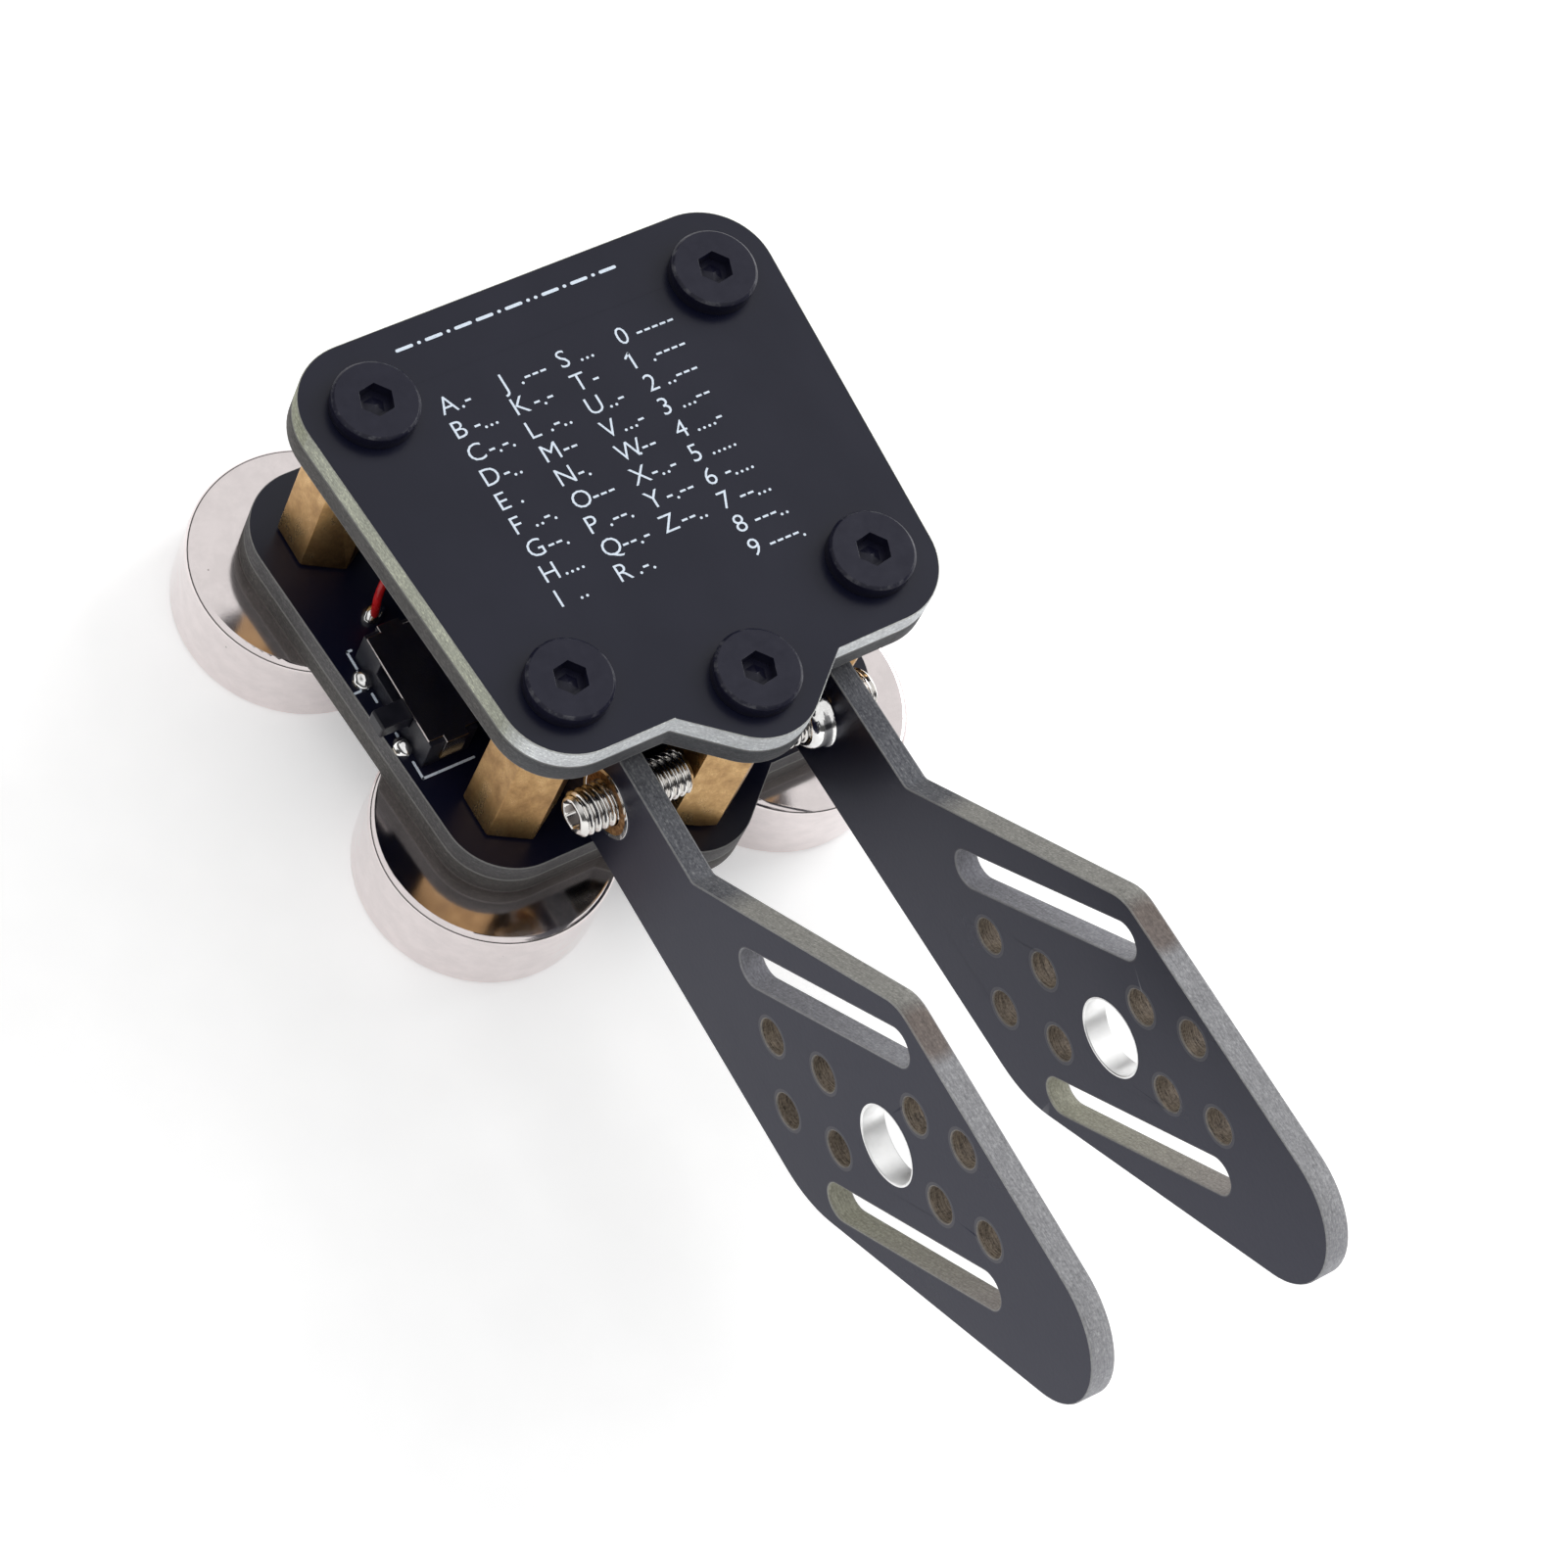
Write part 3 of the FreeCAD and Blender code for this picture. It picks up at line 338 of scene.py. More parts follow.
def board_finish(name, normal, side_tint, front_tint, level, mask_colours, gloss,
                 warm=(), drilled=(), slots=()):
    """Satin black solder mask on the faces, sawn glass-fibre laminate on every edge and wall.

    normal: direction of the board's faces; level: its middle along that direction;
    mask_colours: the mask and its haze; gloss: its index of refraction and the tint it reflects;
    warm: (centre, radius, colour) patches of the sawn edge;
    drilled: centres of small holes, whose walls are brown;
    slots: (start, end, start colour, end colour) of long holes, whose walls are pale.
    """
    finish = Finish(name)
    flat = finish.math("ABSOLUTE", finish.facing(normal))
    is_mask = finish.math("GREATER_THAN", flat, FACE_ON)

    haze = finish.grain((7 * MM, 9 * MM, 8 * MM), detail=3)
    mask = finish.mix(finish.steps(haze, (0.35, 0.0), (0.7, 1.0)), *mask_colours)
    dust = finish.specks(2.1 * MM, 0.055 * MM, 0.16)
    mask = finish.mix(dust, mask, DUST_COLOUR)

    layer = [LAYER_WIDTH] * 3
    bundle = [BUNDLE_WIDTH] * 3
    thin = max(range(3), key=lambda axis: abs(normal[axis]))
    layer[thin] = LAYER_HEIGHT
    bundle[thin] = BUNDLE_HEIGHT
    layers = finish.grain(tuple(layer), detail=5, rough=0.7)
    fray = finish.grain((FRAY, FRAY, FRAY), detail=4, rough=0.75)
    fibre = finish.math("MULTIPLY_ADD", fray, 0.50, finish.math("MULTIPLY", layers, 0.44))
    fibre = finish.math("MULTIPLY_ADD", finish.bundles(tuple(bundle)), 0.10, fibre)
    sawn = finish.steps(fibre, (0.33, SAWN_DARK), (0.52, SAWN_GREY), (0.74, SAWN_PALE))

    # Edges that look towards the operator are made lighter and more even: painted light on top of the
    # laminate's own colour
    forward = finish.clamped(finish.math("MULTIPLY", finish.facing((0, -1, 0)), FORWARD_GAIN))
    tint = finish.mix(forward, side_tint, front_tint)
    painted_lit_grey = tuple(0.9 * grey * part for grey, part in zip(SAWN_GREY, front_tint))
    blotch = finish.grain((3.2 * MM, 4.5 * MM, 2.6 * MM), detail=3)
    shade = finish.steps(blotch, (0.3, 0.78), (0.7, 1.18))
    for colour in (tint, shade):
        sawn = finish.times(sawn, colour)
    sawn = finish.mix(finish.math("MULTIPLY", forward, PAINTED_LIGHT_SHARE), sawn, painted_lit_grey)
    grey = finish.steps(fibre, (0.35, 0.62), (0.70, 1.5))
    for centre, radius, colour in warm:
        patch = finish.steps(finish.near(centre, radius), (0.0, 0.0), (0.25, 1.0))
        patch = finish.math("MULTIPLY", patch, PATCH_SHARE)
        sawn = finish.mix(patch, sawn, finish.times(grey, colour))
    for start, end, first, last in slots:
        beside, part = finish.beside(start, end, SLOT_EDGE)
        inside = finish.math("GREATER_THAN", beside, 0.0)
        sawn = finish.mix(inside, sawn, finish.times(finish.mix(part, first, last), grey))
        mask = finish.mix(finish.math("MULTIPLY", inside, LIP_SHARE), mask, LIP_COLOUR)
    streaks = finish.math("MULTIPLY_ADD", layers, 0.6, finish.math("MULTIPLY", fray, 0.4))
    burnt = finish.steps(streaks, (0.38, DRILLED_DARK), (0.62, DRILLED_PALE))
    for centre in drilled:
        close = finish.near(centre, DRILLED_REACH)
        sawn = finish.mix(finish.math("GREATER_THAN", close, DRILLED_WALL), sawn, burnt)
        lip = finish.math("MULTIPLY", finish.math("GREATER_THAN", close, DRILLED_LIP), LIP_SHARE)
        mask = finish.mix(lip, mask, LIP_COLOUR)

    depth = finish.math("ABSOLUTE", finish.math("SUBTRACT", finish.dot(finish.spot, normal), level))
    rim = finish.math("GREATER_THAN", depth, BOARD / 2 - RIM)
    sawn = finish.mix(finish.math("MULTIPLY", rim, RIM_SHARE), sawn, SAWN_PALE)

    peel = finish.grain((0.32 * MM, 0.32 * MM, 0.32 * MM), detail=2)
    rough_mask = finish.steps(haze, (0.3, 0.27), (0.7, 0.33))
    finish.set(
        Base_Color=finish.mix(is_mask, sawn, mask),
        Roughness=finish.mix(is_mask, (0.72, 0.72, 0.72), rough_mask),
        IOR=gloss[0],
        Specular_Tint=(*gloss[1], 1.0),
    )
    relief = finish.mix(is_mask, fibre, finish.math("MULTIPLY", peel, 0.12))
    return finish.bumpy(relief, 0.035 * MM).material


def brass_finish(name="drawn_brass"):
    """Drawn brass bar: golden, blotched and stained, lightly pitted."""
    finish = Finish(name)
    pitted = finish.grain((0.17 * MM, 0.17 * MM, 0.26 * MM), detail=4, rough=0.7)
    blotch = finish.grain((0.9 * MM, 0.9 * MM, 1.4 * MM), detail=3, rough=0.6)
    stain = finish.grain((2.4 * MM, 2.4 * MM, 4.0 * MM), detail=2)
    patina = finish.math("MULTIPLY_ADD", blotch, 0.55, finish.math("MULTIPLY", stain, 0.45))
    patina = finish.math("MULTIPLY_ADD", pitted, 0.22, finish.math("MULTIPLY", patina, 0.80))
    colour = finish.steps(
        patina, (0.38, (0.35, 0.195, 0.072)), (0.50, (0.50, 0.295, 0.112)), (0.62, (0.66, 0.42, 0.180)),
    )
    finish.set(
        Base_Color=colour,
        Metallic=0.95,
        Roughness=finish.steps(patina, (0.38, 0.36), (0.62, 0.25)),
    )
    return finish.bumpy(pitted, 0.012 * MM).material


def black_oxide_finish(name="black_oxide"):
    """Blue-black oxide on steel; the chamfered rims are lighter, partly worn bare by rubbing and partly
    a painted highlight.
    """
    finish = Finish(name)
    # Slanted rim faces are lightened: wear from rubbing, brightened further as a painted highlight
    upright = finish.math("ABSOLUTE", finish.facing((0, 0, 1)))
    slanted = finish.math("MULTIPLY", finish.math("GREATER_THAN", upright, 0.25),
                          finish.math("LESS_THAN", upright, 0.95))
    wear = finish.grain((0.9 * MM, 0.9 * MM, 0.9 * MM), detail=5, rough=0.65)
    rubbed_and_highlit = finish.math("MULTIPLY", slanted, finish.steps(wear, (0.50, 0.0), (0.68, 0.55)))
    oxide = finish.steps(wear, (0.3, (0.0050, 0.0050, 0.0170)), (0.7, (0.0090, 0.0090, 0.0230)))
    dust = finish.specks(1.9 * MM, 0.04 * MM, 0.08)
    colour = finish.mix(dust, finish.mix(rubbed_and_highlit, oxide, (0.16, 0.16, 0.175)), DUST_COLOUR)
    finish.set(
        Base_Color=colour,
        Metallic=finish.math("MULTIPLY", rubbed_and_highlit, 0.5),
        Roughness=finish.steps(wear, (0.3, 0.30), (0.7, 0.40)),
        IOR=1.38,
    )
    return finish.bumpy(wear, 0.008 * MM).material


def nickel_finish(name, colour, roughness, dents):
    """Bright plated metal with pits, faint stains and slow waves in the plating."""
    finish = Finish(name)
    stain = finish.grain((1.4 * MM, 1.4 * MM, 0.9 * MM), detail=5, rough=0.65)
    wave = finish.grain((0.7 * MM, 0.7 * MM, 0.7 * MM), detail=3)
    pits = finish.specks(1.1 * MM, 0.07 * MM, 0.10)
    darker = tuple(0.94 * part for part in colour)
    tone = finish.mix(finish.steps(stain, (0.4, 0.0), (0.62, 1.0)), darker, colour)
    finish.set(
        Base_Color=finish.mix(finish.math("MULTIPLY", pits, 0.6), tone, (0.16, 0.14, 0.12)),
        Metallic=1.0,
        Roughness=finish.steps(stain, (0.35, roughness * 1.12), (0.65, roughness * 0.9)),
    )
    return finish.bumpy(finish.math("SUBTRACT", wave, pits), dents).material


def solder_finish(name="tin_solder"):
    """Bright solder with slow ripples and a faint frost."""
    finish = Finish(name)
    frost = finish.grain((0.30 * MM, 0.30 * MM, 0.30 * MM), detail=3)
    ripple = finish.grain((0.60 * MM, 0.60 * MM, 0.60 * MM), detail=2)
    finish.set(
        Base_Color=finish.steps(frost, (0.35, (0.80, 0.79, 0.78)), (0.6, (0.92, 0.92, 0.91))),
        Metallic=1.0,
        Roughness=finish.steps(frost, (0.35, 0.13), (0.65, 0.06)),
    )
    return finish.bumpy(ripple, 0.015 * MM).material


def flux_finish(name="bronzed_pad"):
    """A copper-coloured pad browned by flux."""
    finish = Finish(name)
    burnt = finish.grain((0.30 * MM, 0.30 * MM, 0.30 * MM), detail=4, rough=0.65)
    colour = finish.steps(
        burnt, (0.34, (0.085, 0.036, 0.012)), (0.55, (0.34, 0.165, 0.055)), (0.72, (0.60, 0.36, 0.15)),
    )
    finish.set(Base_Color=colour, Metallic=0.75, Roughness=finish.steps(burnt, (0.3, 0.5), (0.7, 0.28)))
    return finish.bumpy(burnt, 0.02 * MM).material


def plastic_finish(name, colour, roughness):
    """Moulded plastic with a fine spark-eroded grain."""
    finish = Finish(name)
    fine = finish.grain((0.07 * MM, 0.07 * MM, 0.07 * MM), detail=3)
    cloudy = finish.grain((1.5 * MM, 1.5 * MM, 1.5 * MM), detail=2)
    lighter = tuple(1.5 * part for part in colour)
    finish.set(
        Base_Color=finish.mix(finish.steps(cloudy, (0.35, 0.0), (0.7, 1.0)), colour, lighter),
        Roughness=finish.steps(cloudy, (0.3, roughness * 0.9), (0.7, roughness * 1.15)),
        IOR=1.42,
    )
    return finish.bumpy(fine, 0.006 * MM).material


def sheet_finish(name, colour, roughness, golden=None):
    """Bright sheet metal with faint stains; golden: (centre, radius) of a golden patch, a painted
    reflection of brass.
    """
    finish = Finish(name)
    stain = finish.grain((1.3 * MM, 1.8 * MM, 1.3 * MM), detail=3)
    darker = tuple(0.8 * part for part in colour)
    tone = finish.mix(finish.steps(stain, (0.35, 0.0), (0.65, 1.0)), darker, colour)
    # The golden patch is a painted reflection of the nearby brass standoff
    if golden:
        tone = finish.mix(finish.steps(finish.near(*golden), (0.0, 0.0), (0.3, 1.0)), tone,
                          (0.78, 0.50, 0.20))
    finish.set(
        Base_Color=tone,
        Metallic=1.0,
        Roughness=finish.steps(stain, (0.35, roughness * 1.15), (0.65, roughness * 0.9)),
    )
    return finish.bumpy(stain, 0.006 * MM).material


def ink_finish(name="white_ink"):
    """Screen-printed white ink, slightly thin in places."""
    finish = Finish(name)
    thin = finish.grain((0.11 * MM, 0.11 * MM, 0.11 * MM), detail=3)
    finish.set(
        Base_Color=finish.steps(thin, (0.30, (0.46, 0.52, 0.60)), (0.46, (0.74, 0.83, 0.94))),
        Roughness=0.62,
    )
    return finish.bumpy(thin, 0.006 * MM).material


def floor_finish(name="pale_floor"):
    """A white light table: matt paper that glows a little of itself."""
    finish = Finish(name)
    paper = finish.grain((4 * MM, 4 * MM, 4 * MM), detail=3)
    finish.set(
        Base_Color=finish.steps(paper, (0.3, 0.93), (0.7, 0.96)),
        Roughness=0.9,
        Emission_Color=(1.0, 1.0, 1.0, 1.0),
        Emission_Strength=0.30,
    )
    return finish.material


# ---------------------------------------------------------------- making pieces

def add_mesh(name, mesh, material, body, smooth=True, crease=35):
    """Link a mesh as a piece that rides on a body; edges sharper than crease degrees stay sharp."""
    piece = bpy.data.objects.new(name, mesh)
    bpy.context.scene.collection.objects.link(piece)
    piece.data.materials.clear()
    piece.data.materials.append(material)
    if smooth:
        mesh.polygons.foreach_set("use_smooth", [True] * len(mesh.polygons))
        mesh.set_sharp_from_angle(angle=math.radians(crease))
    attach(piece, body)
    return piece


def loft(name, rings, closed=False):
    """A mesh through rings of points; open ends are filled, closed joins the last to the first."""
    shape = bmesh.new()
    rows = [[shape.verts.new(point) for point in ring] for ring in rings]
    pairs = list(zip(rows, rows[1:]))
    if closed:
        pairs.append((rows[-1], rows[0]))
    for lower, upper in pairs:
        for i in range(len(lower)):
            j = (i + 1) % len(lower)
            shape.faces.new((lower[i], lower[j], upper[j], upper[i]))
    if not closed:
        shape.faces.new(list(reversed(rows[0])))
        shape.faces.new(rows[-1])
    bmesh.ops.recalc_face_normals(shape, faces=shape.faces)
    mesh = bpy.data.meshes.new(name)
    shape.to_mesh(mesh)
    shape.free()
    return mesh


def axes_of(direction):
    """Two directions that make a right-handed set with this one: X and Y when it is up."""
    along = Vector(direction).normalized()
    helper = UP if abs(along.z) < 0.9 else Vector((0, 1, 0))
    first = helper.cross(along).normalized()
    return first, along.cross(first)


def ring(centre, direction, radius, height, count=48, start=0.0):
    """Points round an axis; radius is a length or a function of the angle from the start."""
    first, second = axes_of(direction)
    points = []
    for step in range(count):
        angle = 2 * math.pi * step / count
        size = radius(angle) if callable(radius) else radius
        away = first * math.cos(angle + start) + second * math.sin(angle + start)
        points.append(centre + Vector(direction) * height + away * size)
    return points


def ring_plate(name, centre, direction, inner, outer, thickness, edge, material, body):
    """A flat washer with rounded rims, such as a pad or a plated hole's border."""
    profile = [
        (inner, 0.0),
        (inner, thickness - edge),
        (inner + edge, thickness),
        (outer - edge, thickness),
        (outer, thickness - edge),
        (outer, 0.0),
    ]
    rings = [ring(centre, direction, radius, height) for radius, height in profile]
    return add_mesh(name, loft(name, rings, closed=True), material, body)


def hexagon(flats):
    """Radius of a hexagon at an angle."""
    sixth = math.pi / 3
    return lambda angle: flats / 2 / math.cos((angle % sixth) - sixth / 2)


# ---------------------------------------------------------------- solder

def random_shift(seed):
    """A random place in the noise, so that no two joints ripple alike."""
    rng = random.Random(seed)
    return Vector((rng.uniform(0, 9), rng.uniform(0, 9), rng.uniform(0, 9)))


def solder_blob(name, centre, across, along, height, turn, seed, material):
    """A wetted joint: a low dome that thins out over its pad, with ripples from cooling."""
    shift = random_shift(seed)
    ripple = 0.5 * MM
    strength = 0.16
    tip = 0.04
    count = 40
    levels = 12
    rings = []
    for level in range(levels + 1):
        part = level / levels
        swell = math.cos(part * math.pi / 2) ** 0.8 if level < levels else tip
        points = []
        for step in range(count):
            angle = 2 * math.pi * step / count
            x = math.cos(angle) * across / 2 * swell
            y = math.sin(angle) * along / 2 * swell
            wobble = noise.noise(Vector((x, y, part * height)) / ripple + shift)
            grow = 1 + strength * wobble
            spot = Vector((x * grow, y * grow, height * part * (1 + 0.2 * wobble * part)))
            points.append(centre + Matrix.Rotation(turn, 3, "Z") @ spot)
        rings.append(points)
    return add_mesh(name, loft(name, rings), material, "frame")


def bush_face(side_name):
    """The middle of a bush on the paddle's middle plane, and the way out of the paddle."""
    axis = outward(side_name)
    screw = middle(f"{side_name}_contact_screw")
    pivot = Vector(JOINTS[f"{side_name}_paddle_press"]["pos_m"])
    return screw + axis * (pivot - screw).dot(axis), axis


# Radius of the solder dome and its height over the paddle's inner face, from the rim to the bore
DOME = [
    (2.34 * MM, 0.00 * MM), (2.27 * MM, 0.10 * MM), (2.21 * MM, 0.30 * MM), (2.18 * MM, 0.55 * MM),
    (2.13 * MM, 0.80 * MM), (2.03 * MM, 1.03 * MM), (1.90 * MM, 1.20 * MM), (1.76 * MM, 1.31 * MM),
    (1.64 * MM, 1.36 * MM), (BUSH_BORE + 0.04 * MM, 1.37 * MM), (BUSH_BORE, 1.30 * MM),
]


def soldered_bush(side_name, seed, material):
    """The bush, flooded with solder: flush outside, a smooth uneven dome on the inner face."""
    shift = random_shift(seed)
    face, axis = bush_face(side_name)
    inward = -axis
    first, second = axes_of(inward)
    half = BOARD / 2
    flush = -half - 0.02 * MM
    profile = [(BUSH_BORE, -half), (BUSH_BORE + 0.05 * MM, flush), (PAD_RADIUS - 0.02 * MM, flush)]
    profile += [(radius, half + lift) for radius, lift in DOME]
    count = 72
    rings = []
    for radius, height in profile:
        free_of_board = max(0.0, min(1.0, (height - half) / (0.3 * MM)))
        free_of_bore = min(1.0, (radius - BUSH_BORE) / (0.4 * MM))
        points = []
        for step in range(count):
            angle = 2 * math.pi * step / count
            away = first * math.cos(angle) + second * math.sin(angle)
            wave = noise.noise(away * 0.9 + Vector((1, 1, 1)) * (0.4 * height / MM) + shift)
            grow = 1 + 0.05 * wave * free_of_board * free_of_bore
            points.append(face + away * radius * grow + inward * height)
        rings.append(points)
    name = f"{side_name}_soldered_bush"
    piece = add_mesh(name, loft(name, rings, closed=True), material, f"{side_name}_paddle")
    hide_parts(f"{side_name}_threaded_bush")
    return piece


# ---------------------------------------------------------------- set screws with a true thread

def set_screw(side_name, material, shaded):
    """An M3 set screw: helical thread, flat tip, chamfered outer end with a hexagonal socket."""
    node = f"{side_name}_contact_screw"
    low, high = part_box(node)
    axis = outward(side_name)
    crest = (high.z - low.z) / 2
    root = crest - 0.27 * MM
    pitch = 0.5 * MM
    rings_per_turn = 14
    length = 8.0 * MM
    chamfer = 0.35 * MM
    socket_flats = 1.5 * MM
    socket = hexagon(socket_flats)
    socket_depth = 1.6 * MM
    socket_edge = 0.06 * MM
    centre_hole = 0.05 * MM
    drill_point = 0.25 * MM
    tip = middle(node) - axis * length / 2
    count = 72

    def thread(height):
        """Radius round the screw at one height: a V-shaped ridge that climbs one pitch a turn."""
        def radius(angle):
            turn = (height / pitch - angle / (2 * math.pi)) % 1.0
            slope = max(0.0, min(1.0, (1 - abs(2 * turn - 1)) * 1.35 - 0.12))
            ridge = slope * slope * (3 - 2 * slope)
            end = min(height, length - height)
            limit = crest - max(0.0, chamfer - end)
            return min(root + (crest - root) * ridge, limit)
        return radius

    rings = [ring(tip, axis, centre_hole, 0.0, count)]
    steps = int(length / pitch) * rings_per_turn
    for step in range(steps + 1):
        height = length * step / steps
        rings.append(ring(tip, axis, thread(height), height, count))
    rings.append(ring(tip, axis, lambda angle: socket(angle) + socket_edge, length, count))
    rings.append(ring(tip, axis, socket, length - socket_edge, count))
    rings.append(ring(tip, axis, socket, length - socket_depth, count))
    rings.append(ring(tip, axis, centre_hole, length - socket_depth - drill_point, count))
    name = f"{side_name}_set_screw"
    piece = add_mesh(name, loft(name, rings), material, node, crease=75)
    # The socket's walls and floor take the darker copy of the nickel: painted shade in the hollow
    piece.data.materials.append(shaded)
    for face in piece.data.polygons:
        height = (face.center - tip).dot(axis)
        away = (face.center - tip - axis * height).length
        if height > length - socket_depth - 0.3 * MM and away < socket_flats / 2 + 0.05 * MM:
            face.material_index = 1
    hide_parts(node)
    return piece


# ---------------------------------------------------------------- print on the boards

# The international morse code as a plain table: three columns of letters and one of figures
MORSE_CODE = [
    [("A", ".-"), ("B", "-..."), ("C", "-.-."), ("D", "-.."), ("E", "."), ("F", "..-."),
     ("G", "--."), ("H", "...."), ("I", "..")],
    [("J", ".---"), ("K", "-.-"), ("L", ".-.."), ("M", "--"), ("N", "-."), ("O", "---"),
     ("P", ".--."), ("Q", "--.-"), ("R", ".-.")],
    [("S", "..."), ("T", "-"), ("U", "..-"), ("V", "...-"), ("W", ".--"), ("X", "-..-"),
     ("Y", "-.--"), ("Z", "--..")],
    [("0", "-----"), ("1", ".----"), ("2", "..---"), ("3", "...--"), ("4", "....-"),
     ("5", "....."), ("6", "-...."), ("7", "--..."), ("8", "---.."), ("9", "----.")],
]
CHART_LEFT = -8.4 * MM
CHART_FIRST_LINE = 8.38 * MM
CHART_PITCH = 1.77 * MM
CHART_COLUMN = 4.25 * MM
CODE_INDENT = 1.35 * MM
CHART_STROKE = 0.15 * MM
CAPITAL = 1.22 * MM
CAPITAL_SHARE = 0.70    # height of the font's capitals as a part of its size
THINNED = 0.012 * MM    # taken off each side of a stroke
INK = 0.012 * MM        # thickness of the ink


def text_mesh(text):
    """A few characters as a thin mesh, and the ends of it along X."""
    curve = bpy.data.curves.new("print", "FONT")
    curve.body = text
    curve.size = CAPITAL / CAPITAL_SHARE
    curve.offset = -THINNED
    curve.extrude = INK / 2
    curve.resolution_u = 3
    source = bpy.data.objects.new("print", curve)
    bpy.context.scene.collection.objects.link(source)
    bpy.context.view_layer.update()
    mesh = bpy.data.meshes.new_from_object(source)
    bpy.data.objects.remove(source)
    xs = [vertex.co.x for vertex in mesh.vertices]
    return mesh, min(xs), max(xs)


def print_text(chart, text, left, baseline):
    """Print a few characters; gives back how wide they are."""
    mesh, start, end = text_mesh(text)
    mesh.transform(Matrix.Translation((left - start, baseline, TOP + INK / 2)))
    chart.from_mesh(mesh)
    bpy.data.meshes.remove(mesh)
    return end - start


def flag_of_one(stem_width, left, baseline):
    """The short upstroke of the figure 1; the font draws only its stem."""
    x = left + stem_width - CHART_STROKE / 2
    top = baseline + CAPITAL - CHART_STROKE / 2
    return (x - 0.32 * MM, top - 0.26 * MM), (x, top)


def print_chart(ink):
    """The international morse code, printed as a plain table on the top board."""
    chart = bmesh.new()
    flags = []
    for column, entries in enumerate(MORSE_CODE):
        left = CHART_LEFT + column * CHART_COLUMN
        for line, (sign, code) in enumerate(entries):
            baseline = CHART_FIRST_LINE - line * CHART_PITCH
            width = print_text(chart, sign, left, baseline)
            print_text(chart, code, left + CODE_INDENT, baseline)
            if sign == "1":
                flags.append(flag_of_one(width, left, baseline))
    chart.from_mesh(strokes_mesh("flags", flags, TOP, CHART_STROKE))
    mesh = bpy.data.meshes.new("alphabet_chart")
    chart.to_mesh(mesh)
    chart.free()
    return add_mesh("alphabet_chart", mesh, ink, "frame", smooth=False)


def strokes_mesh(name, strokes, level, width):
    """Printed strokes with round ends; each stroke is a pair of (x, y) ends in metres."""
    shape = bmesh.new()
    cap = 6
    for (ax, ay), (bx, by) in strokes:
        heading = math.atan2(by - ay, bx - ax)
        outline = []
        for end, (x, y) in enumerate(((ax, ay), (bx, by))):
            start = heading + math.pi / 2 + end * math.pi
            for step in range(cap + 1):
                angle = start + math.pi * step / cap
                outline.append((x + width / 2 * math.cos(angle), y + width / 2 * math.sin(angle)))
        lower = [shape.verts.new((x, y, level)) for x, y in outline]
        upper = [shape.verts.new((x, y, level + INK)) for x, y in outline]
        count = len(outline)
        for i in range(count):
            j = (i + 1) % count
            shape.faces.new((lower[i], lower[j], upper[j], upper[i]))
        shape.faces.new(list(reversed(lower)))
        shape.faces.new(upper)
    mesh = bpy.data.meshes.new(name)
    shape.to_mesh(mesh)
    shape.free()
    return mesh


def print_border_row(ink):
    """A plain row of dots and dashes near the rear edge of the top board."""
    pattern = "-.-.--.-..-.-.-"
    dot = 0.03 * MM
    dash = 1.02 * MM
    gap = 0.52 * MM
    from_edge = 1.75 * MM
    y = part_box("top_plate_outer")[1].y - from_edge
    x = -8.8 * MM
    strokes = []
    for mark in pattern:
        size = dash if mark == "-" else dot
        strokes.append(((x, y), (x + size, y)))
        x += size + gap
    mesh = strokes_mesh("border_row", strokes, TOP, 0.22 * MM)
    return add_mesh("border_row", mesh, ink, "frame", smooth=False)


def print_switch_outline(ink):
    """White lines on the base board round the slide switch: corners and ticks."""
    low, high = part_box("switch_body")
    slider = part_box("switch_slider")[1].y
    left = low.x - 0.25 * MM
    right = high.x
    front = low.y - 0.68 * MM
    rear = high.y + 0.50 * MM
    beyond = slider + 2.45 * MM
    outer = left - 0.95 * MM
    strokes = [
        ((left, low.y + 0.55 * MM), (left, front)),
        ((left, front), (right, front)),
        ((left, rear), (left, rear - 1.25 * MM)),
        ((left, rear), (left + 0.3 * MM, rear)),
        ((outer, beyond), (outer + 0.38 * MM, beyond)),
        ((left, slider + 2.0 * MM), (left, slider + 1.4 * MM)),
        ((left, slider - 0.95 * MM), (left, slider - 1.2 * MM)),
    ]
    mesh = strokes_mesh("switch_outline", strokes, DECK, 0.17 * MM)
    return add_mesh("switch_outline", mesh, ink, "frame", smooth=False)


# ---------------------------------------------------------------- details on the CAD parts

def soften(node, width):
    """Break the sharp edges of a CAD part with a small bevel."""
    weld = NODES[node].modifiers.new("weld", "WELD")
    weld.merge_threshold = 0.0005 * MM
    bevel = NODES[node].modifiers.new("bevel", "BEVEL")
    bevel.width = width
    bevel.segments = 2
    bevel.limit_method = "ANGLE"
    bevel.angle_limit = math.radians(32)
    bevel.use_clamp_overlap = True


def paint(node, material):
    """Give a CAD part its material."""
    slots = NODES[node].data.materials
    slots.clear()
    slots.append(material)


def plate_eye(side_name, plating):
    """Bright plating through the large hole of a paddle, with a narrow border on both faces."""
    axis = outward(side_name)
    centre = on_paddle(side_name, EYE_REACH, EYE_LEVEL)
    face = BOARD / 2 + 0.02 * MM
    rounding = 0.05 * MM
    border = EYE_RADIUS + 0.10 * MM
    wall = EYE_RADIUS + 0.02 * MM
    profile = [
        (EYE_RADIUS - rounding, face - rounding),
        (EYE_RADIUS, face),
        (border, face),
        (border, face - rounding),
        (wall, face - 0.06 * MM),
        (wall, 0.06 * MM - face),
        (border, rounding - face),
        (border, -face),
        (EYE_RADIUS, -face),
        (EYE_RADIUS - rounding, rounding - face),
    ]
    rings = [ring(centre, axis, size, height, 72) for size, height in profile]
    name = f"{side_name}_eye_plating"
    return add_mesh(name, loft(name, rings, closed=True), plating, f"{side_name}_paddle")


